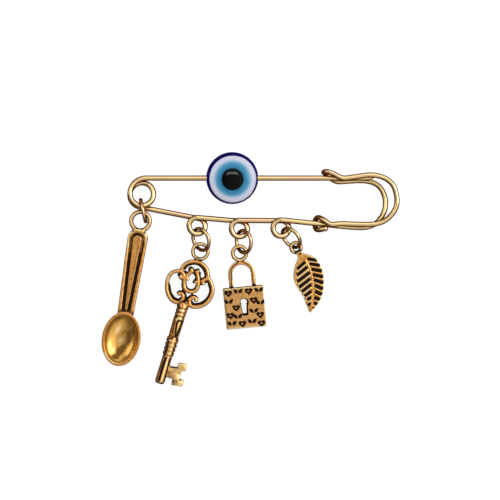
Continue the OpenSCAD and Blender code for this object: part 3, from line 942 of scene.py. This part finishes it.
def paintBowl(cast):  # burnished inside, with stains, painted dark reflections and painted highlights in soft patches, and a painted highlight along the lip
    places, normals = meshArrays(cast)
    up, scale = normals[:, 2] > 0, photo["scale"]
    share, edge = spoon["burnished"]
    wallPlace, wallReach, wallStrength = spoon["wallStainAndShade"]
    across = places[:, 0] / (spoon["bowlWidth"] / 2)
    along = (places[:, 1] + spoon["length"]) / (spoon["bowlLength"] / 2) - 1
    out = np.hypot(across, along)  # 0 in the bowl's middle, 1 at its rim
    inside = np.clip((share - out) / edge, 0, 1) * up
    values = {name: readNumbers(cast, name) * (1 - inside) for name in ("oxideAndShade", "wearAndHighlight")}
    # stains, painted dark reflections and painted highlights in soft patches
    for name, spot, long, wide, lean, strength in bowlStainsAndReflections:
        middle = fromPhoto(spoon, [spot])[0]
        patch = blot(places, middle, long * scale, wide * scale, lean - spoon["turn"])
        values[name] += strength * inside * patch
    # a darker band round the wall: stain and painted dark reflection
    wall = 1 - np.clip(abs(out - wallPlace) / wallReach, 0, 1)
    values["oxideAndShade"] = np.maximum(values["oxideAndShade"], wallStrength * wall * up)
    for name in values:
        paintNumbers(cast, name, np.clip(values[name], 0, 1))
    paintNumbers(cast, "polish", inside)
    # painted highlight along the lip, with the oxide taken away there
    lip = curveFromPhoto(spoon, bowlLip, 3)
    calmLines(cast, "oxideAndShade", [lip], reach=0.4, keep=0.1)
    paintLines(cast, "wearAndHighlight", [lip], reach=0.3, strength=1, soft=0.8)


makeSpoon()
print("spoon made")


# key

key = {
    "eye": (-11.47, 6.32, 1.76),
    "turn": -17.1,
    "eyeRadius": 1.75,
    "eyeBar": 0.7,
    "length": 32.0,
    "axis": 1.4,
    "stemOffset": -0.16,
    "stemTip": [(0, 0.7), (0.08, 0.35), (0.3, 0.1), (0.6, 0)],  # how much thinner, place before the end
    "bar": 0.95,
    "thinBar": 0.7,
    "barEnd": 0.3,  # length of the rounded ends in bar widths
    "barLevels": (0.5, 0, -0.5),  # heights in the spare thickness
    "wall": 0.46,
    "wallSunk": 0.15,
    "web": (-0.5, 0.1),  # bottom and top of the webs, from the axis
    "bit": (-0.65, 0.75, 0.1),  # bottom and top of the bit, from the axis, and its rounded edge
    "thick": 1.7,
    "shaft": 2.3,
    "grooveDepth": 0.22,
    "melt": (0.085, 1, 0.4),
    "relief": (0.6, 0.75, 0.12, 0.7),
}
keyBars = [
    [(180.2, 276.2), (181.2, 278), (183, 277), (183.4, 274), (180.8, 271.4), (176, 271.2), (171.6, 273),
     (168.4, 277.2), (167, 282.5), (166.8, 289), (168.6, 295.6), (172, 300.3), (176.4, 302.4),
     (180.2, 301.8), (182.7, 299), (183, 295.6), (181, 293.4), (178.4, 294)],
    [(181.2, 269.6), (182.4, 267.2), (184.6, 264.6), (188.6, 262.2), (193.5, 261.4), (199, 262.4),
     (203.4, 265), (206.4, 269), (207.8, 273.5), (207.6, 277.4), (206, 279.4), (203.8, 280),
     (202.8, 281.6), (203.2, 284)],
    [(208.4, 278.6), (211, 283), (212.4, 288), (212.2, 293), (210.2, 298.4), (206.4, 303), (201.4, 306),
     (196, 307), (191.6, 306.4), (189.6, 304), (189.6, 300.6), (191.2, 298.2), (194, 297.6), (196, 299),
     (195.8, 301)],
    [(191.2, 269.4), (192, 271.4), (189.6, 273.2), (186.6, 276), (184.7, 280), (184, 284.6),
     (184.8, 288.4), (187.4, 291), (191.4, 292), (195.2, 290.8), (197.6, 287.4), (198.3, 283), (198, 278),
     (197.2, 274.2), (196.6, 272.2), (198.4, 271.4)],
]
keyThinBars = [
    [(186.2, 276.4), (187.2, 278), (188, 279.8)],
    [(198.2, 284), (196.6, 281.8), (195.2, 282.6)],
]
keyShades = [  # low stained walls inside the bars
    [(167.6, 281), (169.6, 286), (170.5, 292), (173, 296.4), (176, 298.8), (179.4, 299.2), (180.8, 297)],
    [(177, 293.6), (178, 291.8), (180.6, 291.2), (183.6, 291.8), (185, 294.6), (185.4, 299)],
    [(178, 276), (178.4, 274.2), (180.4, 274)],
    [(184.6, 269.6), (186, 267.2), (189, 265), (194, 264), (199, 265.2), (202.6, 268.6), (204.8, 273),
     (205, 277), (202.6, 278.4), (200.8, 280), (200.6, 285)],
    [(205.4, 283.2), (206, 281.8), (207.8, 282.2), (209, 286), (209.9, 290), (209.2, 294), (207, 298),
     (203.4, 301.4), (199, 303.4), (195, 304), (192.4, 303), (192, 301)],
    [(187.6, 304), (187.4, 299.4), (188.8, 296.8), (192, 295.4), (195.4, 296), (197.4, 298.4)],
    [(193.6, 273.4), (195.8, 276.6), (195, 279.6), (193.4, 281.4), (193.4, 283.4)],
    [(196, 285), (195.4, 287.6), (192.4, 289.8), (188.6, 289.2), (186, 286.6), (185.6, 282)],
    [(189.4, 272.4), (188.8, 269.4), (190, 267.4), (192.2, 267.8), (194, 270)],
    [(194.6, 271.4), (196.6, 269.4), (199.6, 269.8)],
    [(200, 272), (199.8, 276), (200, 279)],
    [(182.6, 281), (182, 285), (182.8, 289), (184.6, 292)],
]
keyWebs = [  # thin flat patches between the bars
    [(184.4, 270), (188.6, 272.2), (187.4, 274.6), (184.8, 279), (182.6, 282), (180.4, 279.6),
     (183.4, 278), (184.4, 274)],
    [(183.5, 291.5), (186, 293.5), (187.6, 299.5), (188.6, 305.4), (182, 305.2), (181.4, 302.8),
     (184.2, 299)],
    [(199.4, 273), (201, 277.8), (203.2, 278.4), (202.2, 281), (201.6, 285.4), (199.2, 285.4)],
    [(193.2, 270), (195.6, 272.4), (196, 277.4), (193.6, 274.4)],
]
keyStem = [  # place along and radius
    (12.4, 1.1), (12.85, 1.36), (13.75, 1.38), (13.95, 1.1), (14.15, 1.3), (14.75, 1.3), (14.95, 1.08),
    (15.1, 1.28), (15.6, 1.28), (15.8, 1.08), (15.95, 1.25), (16.3, 1.27), (20.4, 1.2), (20.65, 1.08),
    (20.9, 1.36), (21.9, 1.4), (22.15, 1.08), (22.35, 1.4), (22.95, 1.38), (23.15, 1.08), (23.35, 1.36),
    (23.95, 1.36), (24.15, 1.08), (24.35, 1.3), (25, 1.3), (25.25, 1.04), (25.5, 1.12),
]
keyGrooves = [  # lines cut into the shank, with their widths
    ([(175.4, 336), (175.6, 331), (176.2, 327), (177, 322.8), (179, 320.8), (181.2, 321.2), (181.9, 323),
      (181, 326), (179.2, 329.4), (177.8, 333), (176, 337)], 0.4),
    ([(174.8, 321), (173.6, 326), (172.8, 331), (172.4, 334)], 0.2),
    ([(165.7, 358), (163.1, 366), (160.7, 374), (158.9, 380.2)], 0.52),
    ([(169.8, 358.4), (168, 365.6), (166, 374), (164.2, 380.8)], 0.24),
]
keyOxideAndShade = [  # oxide left beside the collars and the bit, and painted shade on the collars' dark sides, with its reach
    ([(178.8, 305.4), (179.4, 308)], 0.42), ([(178.4, 310.6), (178.8, 312)], 0.3),
    ([(177.2, 315), (176.2, 317.6)], 0.3), ([(168.6, 338.8), (170.8, 338.6), (173.6, 336.6)], 0.3),
    ([(176.2, 337.6), (177.4, 341)], 0.3),
    ([(168.2, 342.4), (167.2, 347.4), (166.2, 351.6), (164.6, 355)], 0.36),
    ([(175.2, 345.4), (175.6, 346.6)], 0.25), ([(173.2, 349.6), (174.2, 350.6)], 0.25),
    ([(172, 353.6), (172.6, 354.6)], 0.25),
    ([(170.2, 366.9), (174, 367.7), (177.6, 367.8), (178.4, 363)], 0.22),
    ([(166.8, 377.2), (172, 378.8)], 0.2), ([(172.8, 380), (173.6, 382)], 0.32),
    ([(179.2, 380), (181, 380.4)], 0.22), ([(176, 380.6), (176.4, 381.8)], 0.24),
    ([(156, 381.6), (159.6, 383.4), (162.6, 383.6)], 0.3),
]
keyHighlights = [  # painted highlights on the crowns of the collars and the shank
    [(184.6, 306.4), (187.6, 306.8)], [(180.6, 310.4), (184.4, 310.8)], [(180, 314.2), (182.6, 314.2)],
    [(177, 318.8), (181, 318.6)], [(170.4, 341), (174, 341.6)], [(169.2, 345.4), (172.4, 345.6)],
    [(167.8, 349.8), (170.6, 350)], [(166.4, 353.8), (169.4, 354.2)],
    [(168.2, 358.6), (166, 366), (163.8, 374), (161.8, 381)],
]
keyPlain = [[(167.4, 358.6), (160.6, 382)], [(180, 320), (172.8, 336)]]  # kept freer of oxide
keyFlank = [(0.85, -12.6), (0.85, -32)]  # right side of the shank, kept clean
keyShankHighlight = [(0.35, -16), (0.35, -31.5)]  # painted highlight line beside the shank's middle
keyBitHighlight = [[(173, 371.4), (183, 367.6)], [(173.6, 375), (177, 383)]]  # painted highlight on the middle of the bit
keyBit = [  # outline of the bit
    (167, 365.8), (177.2, 367.4), (178.6, 362.8), (187, 364.4), (185.6, 371.4), (181, 371.6),
    (179.4, 379), (184, 381), (181.8, 386.9), (171, 385), (172.4, 379), (164.6, 376.8),
]


def makeBow():  # bars in three levels, low walls and webs between them
    axis, parts = key["axis"], []
    bars = [(bar, key["bar"]) for bar in keyBars] + [(bar, key["thinBar"]) for bar in keyThinBars]
    for bar, width in bars:
        line = curveFromPhoto(key, bar, 4)
        for level in key["barLevels"]:
            height = axis + level * (key["thick"] - width)
            run, widths = roundedEnds([Vector((p.x, p.y, height)) for p in line], width * key["barEnd"])
            parts.append(wireAlong("bowBar", run, width, widths, sides=4))
    for shade in keyShades:
        line = curveFromPhoto(key, shade, 3, axis - key["wallSunk"])
        parts.append(wireAlong("bowWall", line, key["wall"], sides=3))
    low, high = key["web"]
    return parts + [plate("bowWeb", [fromPhoto(key, web)], axis + low, axis + high) for web in keyWebs]


def makeStem():
    end = key["length"]
    profile = [(0, -keyStem[0][0])] + [(radius, -along) for along, radius in keyStem]
    profile += [(key["shaft"] / 2 - drop, -end + rise) for drop, rise in key["stemTip"]]
    stem = turned("keyStem", profile + [(0, -end)], steps=64)
    stem.location = (key["stemOffset"], 0, key["axis"])
    applyPlace(stem)
    return stem


def makeKey():
    axis = key["axis"]
    low, high, soft = key["bit"]
    parts = makeBow() + [makeStem()]
    parts.append(plate("keyBit", [fromPhoto(key, keyBit)], axis + low, axis + high, soft))
    cast = castOf("keyCharm", parts + [eyeRing(key, axis)], key)
    stainAndHighlightEye(cast, key)
    plain, shine, bitHighlight = (
        [fromPhoto(key, line) for line in lines] for lines in (keyPlain, keyHighlights, keyBitHighlight))
    calmLines(cast, "oxideAndShade", plain, reach=1.3, keep=0.4)
    calmLines(cast, "oxideAndShade", [keyFlank], reach=0.8, keep=0.3)
    # painted highlights: a line on the shank, the collars' crowns and the middle of the bit
    paintLines(cast, "wearAndHighlight", [keyShankHighlight], reach=0.5, strength=0.35, above=axis, soft=0.8)
    paintLines(cast, "wearAndHighlight", shine, reach=0.3, strength=0.8, above=axis)
    paintLines(cast, "wearAndHighlight", bitHighlight, reach=1.5, strength=0.36, above=axis, soft=0.5)
    crown(cast, bitHighlight, reach=1.3, height=0.3, above=axis + 0.5)
    for line, width in keyGrooves:
        engrave(cast, [curveFromPhoto(key, line, 4)], width, key["grooveDepth"], axis)
    # oxide beside the collars and the bit, and painted shade on the collars' dark sides
    for line, reach in keyOxideAndShade:
        paintLines(cast, "oxideAndShade", [fromPhoto(key, line)], reach, strength=0.7, above=axis)
    hangCharm(cast, key, axis, key["length"], "key_charm")


makeKey()
print("key made")


# lock

lock = {
    "eye": (-2.42, 5.95, 2.31),
    "turn": 5.5,
    "eyeRadius": 1.575,
    "eyeBar": 0.75,
    "width": 9.3,
    "height": 9.5,
    "thick": 2.0,
    "shackle": 6.1,
    "shackleBar": 0.85,
    "strands": [(0.25, 0.6, 0.1), (-0.25, 0.6, 0.1), (0, 0.9, 0)],  # outwards, share of the bar, upwards
    "shackleGroove": (0.2, 0.1),  # width, depth
    "shackleSunk": 0.5,  # how far it goes into the body
    "eyeSunk": 0.15,  # how far the eye goes into the shackle
    "top": -7.85,
    "corner": 0.2,
    "rounded": 0.12,
    "face": 1.8,  # only what lies above this is marked
    "hole": (-0.12, 1.3, 0.76, 0.7, 0.42, 2.75),  # middle, radius, half widths of the slot, length
    "ledge": (0.02, 1.2, 0.96, 0.85, 0.62, 2.98),  # the same for the step round it
    "ledgeDepth": 0.5,
    "markDepth": 0.3,
    "heart": 1.75,
    "sprig": 1.85,
    "melt": (0.068, 2, 0.4),
    "relief": (0.4, 0.6, 0.08, 1.0),
}
lockMarks = [  # place from the lock's middle, 1 for a heart and 0 for a sprig
    (-3.5, 3.6, 1), (-1.2, 3.4, 0), (1.2, 3.7, 1), (3.6, 3.3, 0),
    (-3.6, 1.2, 0), (-2, 0.1, 1), (2.2, 1.5, 1), (3.7, 0.4, 0),
    (-3.5, -1.6, 1), (-1.8, -2.4, 0), (2, -1.4, 0), (3.4, -2, 1),
    (-3.3, -3.9, 0), (-0.9, -3.7, 1), (1.4, -3.8, 0), (3.5, -4, 1),
]


def heartOutline(x, y, size):
    unit, outline = size / 32, []  # the usual heart curve is 32 units wide
    for a in range(0, 360, 12):
        angle = math.radians(a)
        rise = 13 * math.cos(angle) - 5 * math.cos(2 * angle) - 2 * math.cos(3 * angle) - math.cos(4 * angle)
        outline.append((x + unit * 16 * math.sin(angle) ** 3, y + unit * rise))
    return outline


def leafOutline(x, y, size, lean):
    turn = Matrix.Rotation(math.radians(lean), 2)
    shape = smoothLoop([(0, 0.12), (0.2, 0.42), (0, 0.8), (-0.2, 0.42)], 4)
    return [(x + (turn @ p).x * size, y + (turn @ p).y * size) for p in shape]


def boxOutline(left, right, bottom, top, corner):
    spots = []
    for x, y, start in ((right - corner, top - corner, 0), (left + corner, top - corner, 90),
                        (left + corner, bottom + corner, 180), (right - corner, bottom + corner, 270)):
        spots += [around((x, y), corner, start + 22.5 * i) for i in range(5)]
    return spots


def keyholeOutline(middle, x, y, radius, top, bottom, length):
    y += middle
    arch = [around((x, y), radius, -40 + 20 * i) for i in range(14)]
    return arch + [(x - top, y - 0.5 * radius), (x - bottom, y - length), (x + bottom, y - length)]


def makeShackle(middle, radius, eyeHeight):
    top, bar, strands = lock["top"] - lock["shackleSunk"], lock["shackleBar"], []
    for shift, share, lift in lock["strands"]:
        wide, height = radius + shift, eyeHeight + lift
        arch = [(*around((0, middle), wide, 180 - 180 * i / 32), height) for i in range(33)]
        arch = [(-wide, top, height)] + arch + [(wide, top, height)]
        strands.append(wireAlong("shackle", arch, bar * share))
    return strands


def markLock(cast, middle):  # rows of hearts and sprigs, sunk and dark
    for x, y, isHeart in lockMarks:
        if isHeart:
            marks = [[heartOutline(x, middle + y, lock["heart"] * share) for share in (1, 0.34)]]
        else:
            marks = [[leafOutline(x, middle + y - 0.1, lock["sprig"], lean)] for lean in (-42, 42)]
        for mark in marks:
            punch(cast, mark, lock["markDepth"], lock["face"])


def makeLock():
    eyeHeight, top, height, half = lock["thick"] / 2, lock["top"], lock["height"], lock["width"] / 2
    middle, bottom, face = top - height / 2, top - height, lock["face"]
    radius = (lock["shackle"] - lock["shackleBar"]) / 2
    bend = -lock["eyeRadius"] - lock["eyeBar"] / 2 + lock["eyeSunk"] - lock["shackle"] / 2
    hole, ledge = (keyholeOutline(middle, *lock[name]) for name in ("hole", "ledge"))
    outline = boxOutline(-half, half, bottom, top, lock["corner"])
    body = plate("lockBody", [outline, hole], 0, lock["thick"], lock["rounded"])
    parts = [body, *makeShackle(bend, radius, eyeHeight), eyeRing(lock, eyeHeight)]
    cast = castOf("lockCharm", parts, lock)
    arch = [around((0, bend), radius, 180 - 180 * i / 24) for i in range(4, 21)]
    groove = [(-radius, top - 0.2)] + arch + [(radius, top - 0.2)]
    engrave(cast, [groove[:8], groove[-8:]], *lock["shackleGroove"], eyeHeight)
    punch(cast, [ledge, hole], lock["ledgeDepth"], face)
    markLock(cast, middle)
    side = -half + 0.16
    shadedLeftEdge = [(side, top - 0.1), (side, bottom + 0.1)]
    litTopEdge = [(-half, top - 0.12), (half, top - 0.12)]
    litBottomEdge = [(-half + 0.4, bottom + 0.14), (half, bottom + 0.14)]
    # painted shade down the lock's left side
    paintLines(cast, "oxideAndShade", [shadedLeftEdge], reach=0.42, strength=0.52)
    stainAndHighlightEye(cast, lock)
    paintLines(cast, "oxideAndShade", [hole + hole[:1]], reach=0.2, strength=1)
    paintLines(cast, "wearAndHighlight", [[(0, top), (0, bottom)]], half * 1.6, strength=0.22, above=face, soft=0.01)
    # painted highlights along the top and bottom edges
    paintLines(cast, "wearAndHighlight", [litTopEdge, litBottomEdge], reach=0.32, strength=0.7, above=face)
    hangCharm(cast, lock, eyeHeight, height - top, "lock_charm")


makeLock()
print("lock made")


# leaf

leaf = {
    "eye": (10.62, 7.25, 2.14),
    "turn": 12.1,
    "eyeRadius": 1.15,
    "eyeBar": 0.7,
    "eyeHeight": 0.5,
    "thick": 1.2,
    "pocketFloor": 0.77,
    "faceLow": 0.6,  # where the face starts, inside the body
    "rounded": (0.12, 0.07),  # edges of the body and of the face
    "pocketEnd": 0.12,
    "midrib": (1.0, 0.62, 0.3),  # height, width, length of its rounded ends
    "marked": (0.75, 1.05),  # only what lies above these is painted, or rounded up
    "melt": (0.058, 2, 0.4),
    "relief": (0.4, 0.36, 0.08, 0.7),
    "leftRibs": (0.34, 0.16),  # half width and height of their crowns
    "rightRibs": (0.3, 0.1),
}
leafLeft = [  # outline from the eye down the left side
    (-0.3, -1.25), (-0.1, -2.4), (-0.55, -3.3), (-1.15, -4.2), (-1.75, -5.6), (-2.05, -7.2),
    (-1.85, -8.5), (-1.3, -10), (-0.75, -11.5), (-0.5, -13.1), (-0.3, -14.4), (0.1, -15.55),
]
leafRight = [  # and from the tip up the right side
    (0.6, -15.1), (1.6, -14.4), (3, -13), (4.2, -10.8), (4.85, -8.2), (4.9, -6.3), (4.4, -4.5),
    (3.3, -2.8), (2.1, -2.05), (1.3, -1.5), (0.8, -0.95),
]
leafMidrib = [
    (305.4, 260.6), (308.4, 266), (311, 273), (312.4, 281), (312.6, 289), (312.2, 297), (311.4, 305),
    (310.6, 310.4),
]
leafPockets = [  # both ends of each pocket, then its width; eight at the left, then those at the right
    ((297.2, 268.6), (304.8, 261.8), 0.66), ((297, 275), (306.6, 267.2), 0.66),
    ((297.4, 281.6), (309, 272.8), 0.66), ((299.4, 287.2), (309.8, 279), 0.66),
    ((302, 291.6), (310.6, 284.8), 0.66), ((304.8, 296), (311, 291.4), 0.68),
    ((307.4, 299.6), (310.8, 297.8), 0.73), ((308, 305.4), (310.4, 304.2), 0.71),
    ((307.6, 258.7), (316.8, 260), 0.73), ((309.8, 263.7), (319.4, 265.2), 0.73),
    ((311.8, 269.1), (321.4, 271), 0.76), ((313.2, 274.6), (322.6, 276.8), 0.76),
    ((314.4, 279.8), (322.9, 282.8), 0.78), ((315, 285.4), (322.6, 289), 0.80),
    ((315.4, 291.6), (321.6, 294.4), 0.83), ((314.8, 297.8), (319.4, 299.6), 0.78),
    ((314.2, 303.3), (317, 304.4), 0.71), ((312.9, 308.2), (313.9, 308), 0.40),
]


def pocketOutline(a, b, width):
    way = (b - a).normalized()
    side, end = Vector((-way.y, way.x)) * width / 2, way * leaf["pocketEnd"]
    return [a - side, b - side, b - side * 0.5 + end, b + side * 0.5 + end,
            b + side, a + side, a + side * 0.5 - end, a - side * 0.5 - end]


def between(lines):  # the lines halfway between each two neighbours
    return [[(a + c) / 2, (b + d) / 2] for (a, b), (c, d) in zip(lines, lines[1:])]


def makeLeaf():
    (bodySoft, faceSoft), (painted, crowned) = leaf["rounded"], leaf["marked"]
    height, width, end = leaf["midrib"]
    outline = [(p.x, p.y) for p in smoothRun(leafLeft, 5) + smoothRun(leafRight, 5)]
    ends = [fromPhoto(leaf, pocket[:2]) for pocket in leafPockets]
    pockets = [pocketOutline(a, b, pocket[2]) for (a, b), pocket in zip(ends, leafPockets)]
    body = plate("leafBody", [outline], 0, leaf["pocketFloor"], bodySoft)
    face = plate("leafFace", [outline] + pockets, leaf["faceLow"], leaf["thick"], faceSoft)
    line = curveFromPhoto(leaf, leafMidrib, 6)
    run, widths = roundedEnds([Vector((p.x, p.y, height)) for p in line], end)
    rib = wireAlong("midrib", run, width, widths)
    cast = castOf("leafCharm", [body, face, rib, eyeRing(leaf, leaf["eyeHeight"])], leaf)
    leftRibs, rightRibs = between(ends[:8]), between(ends[8:-1])
    crown(cast, leftRibs, *leaf["leftRibs"], crowned)
    calmLines(cast, "wearAndHighlight", [line], reach=0.42, keep=0.25)
    paintLines(cast, "wearAndHighlight", leftRibs, reach=0.26, strength=1, above=painted)
    crown(cast, rightRibs, *leaf["rightRibs"], crowned)
    stainAndHighlightEye(cast, leaf)
    hangCharm(cast, leaf, leaf["eyeHeight"], -leafLeft[-1][1], "leaf_charm")


makeLeaf()
print("leaf made")


# stage, light and camera

stage = {
    "floor": (0.9, 0.9, 0.9, 1),
    "floorSeen": (0.26, 0.26, 0.26, 1),  # the camera sees a lit sheet, just white
    "floorInMetal": (0.23, 0.14, 0.05, 1),  # what the gold mirrors of the floor
    "glow": 0.87,
    "floorSize": 4.0,
    "floorDrop": 0.02,  # millimetres below what lies on it
    "world": 0.72,
    "mirrored": [  # what the gold mirrors of the studio: axis, its range, strengths at both ends
        ("Z", (0.2, 0.75, 0.27, 1.28)),
        ("Z", (0.91, 0.99, 1, 0.4453)),
        ("Y", (-0.6, 0.2, 0.6, 1.15)),
        ("X", (-0.5, 0.1, 0.25, 1)),
    ],
    "lights": {  # place, width, height, spin, power
        "left": ((-0.34, 0.16, 0.36), 0.26, 0.26, 0, 0.25),
        "right": ((0.36, 0.12, 0.34), 0.24, 0.24, 0, 0.75),
    },
    "beadLights": {
        "strip": ((-0.004, 0.152, 0.59), 0.14, 0.04, 0, 0.3),
        "stripLeft": ((-0.104, 0.143, 0.59), 0.08, 0.036, 14, 0.13),
        "stripRight": ((0.096, 0.143, 0.59), 0.08, 0.036, -14, 0.13),
    },
}


def makeFloor():
    deselectAll()
    bpy.ops.mesh.primitive_plane_add(size=stage["floorSize"], location=(0, 0, -stage["floorDrop"] * mm))
    floor = bpy.context.object
    floor.name = "floor"
    material, tree, shader = newMaterial("floorPaper")
    rays = addNode(tree, "ShaderNodeLightPath").outputs
    paper = mixColours(tree, rays["Is Glossy Ray"], stage["floor"], stage["floorInMetal"])
    colour = mixColours(tree, rays["Is Camera Ray"], paper, stage["floorSeen"])
    glow = reckon(tree, "MULTIPLY", rays["Is Camera Ray"], stage["glow"])
    setSockets(shader, {"Base Color": colour, "Roughness": 0.9, "Specular IOR Level": 0.1,
                        "Emission Color": (1, 1, 1, 1), "Emission Strength": glow})
    floor.data.materials.append(material)


def makeWorld():
    # pale for the eye and as soft light, darker towards the horizon and overhead where the gold mirrors it
    world = bpy.data.worlds.new("studio")
    bpy.context.scene.world = world
    world.use_nodes = True
    tree = world.node_tree
    way = addNode(tree, "ShaderNodeSeparateXYZ")
    setSockets(way, {0: addNode(tree, "ShaderNodeTexCoord").outputs["Generated"]})
    mirrored = 1.0
    for axis, bounds in stage["mirrored"]:
        mirrored = reckon(tree, "MULTIPLY", mirrored, rangeOf(tree, way.outputs[axis], *bounds))
    mix = addNode(tree, "ShaderNodeMix", data_type="FLOAT")
    rays = addNode(tree, "ShaderNodeLightPath").outputs
    setSockets(mix, {0: rays["Is Glossy Ray"], 2: stage["world"], 3: mirrored})
    setSockets(tree.nodes["Background"], {"Color": (1, 1, 1, 1), "Strength": mix.outputs[0]})


def makeLight(name, place, width, height, spin, power, only=None):
    bpy.ops.object.light_add(type="AREA", location=place)
    light = bpy.context.object
    light.name = name
    light.data.shape = "RECTANGLE"
    light.data.size, light.data.size_y = width, height
    light.data.energy = power
    aim = Vector(place).to_track_quat("Z", "Y").to_matrix() @ Matrix.Rotation(math.radians(spin), 3, "Z")
    light.rotation_euler = aim.to_euler()
    if only:  # a thin strip that only this piece mirrors
        group = bpy.data.collections.new(name + "Group")
        group.objects.link(only)
        light.light_linking.receiver_collection = group


def makeCamera():
    wide = photo["scale"] * photo["side"] * mm
    middle = photo["side"] / 2
    bpy.ops.object.camera_add(location=(
        -sheetMiddle.x * mm,
        ((photo["middleRow"] - middle) * photo["scale"] - sheetMiddle.y) * mm,
        wide * photo["lens"] / photo["sensor"] + photo["height"] * mm,
    ), rotation=(0, 0, 0))
    camera = bpy.context.object
    camera.data.lens = photo["lens"]
    camera.data.sensor_width = photo["sensor"]
    camera.data.clip_start = 0.01
    camera.data.clip_end = 20
    bpy.context.scene.camera = camera


makeFloor()
makeWorld()
for name, light in stage["lights"].items():
    makeLight(name + "Light", *light)
for name, light in stage["beadLights"].items():
    makeLight(name + "Light", *light, eyeBead)
makeCamera()
bpy.context.scene.view_settings.view_transform = "Standard"
print("stage made")
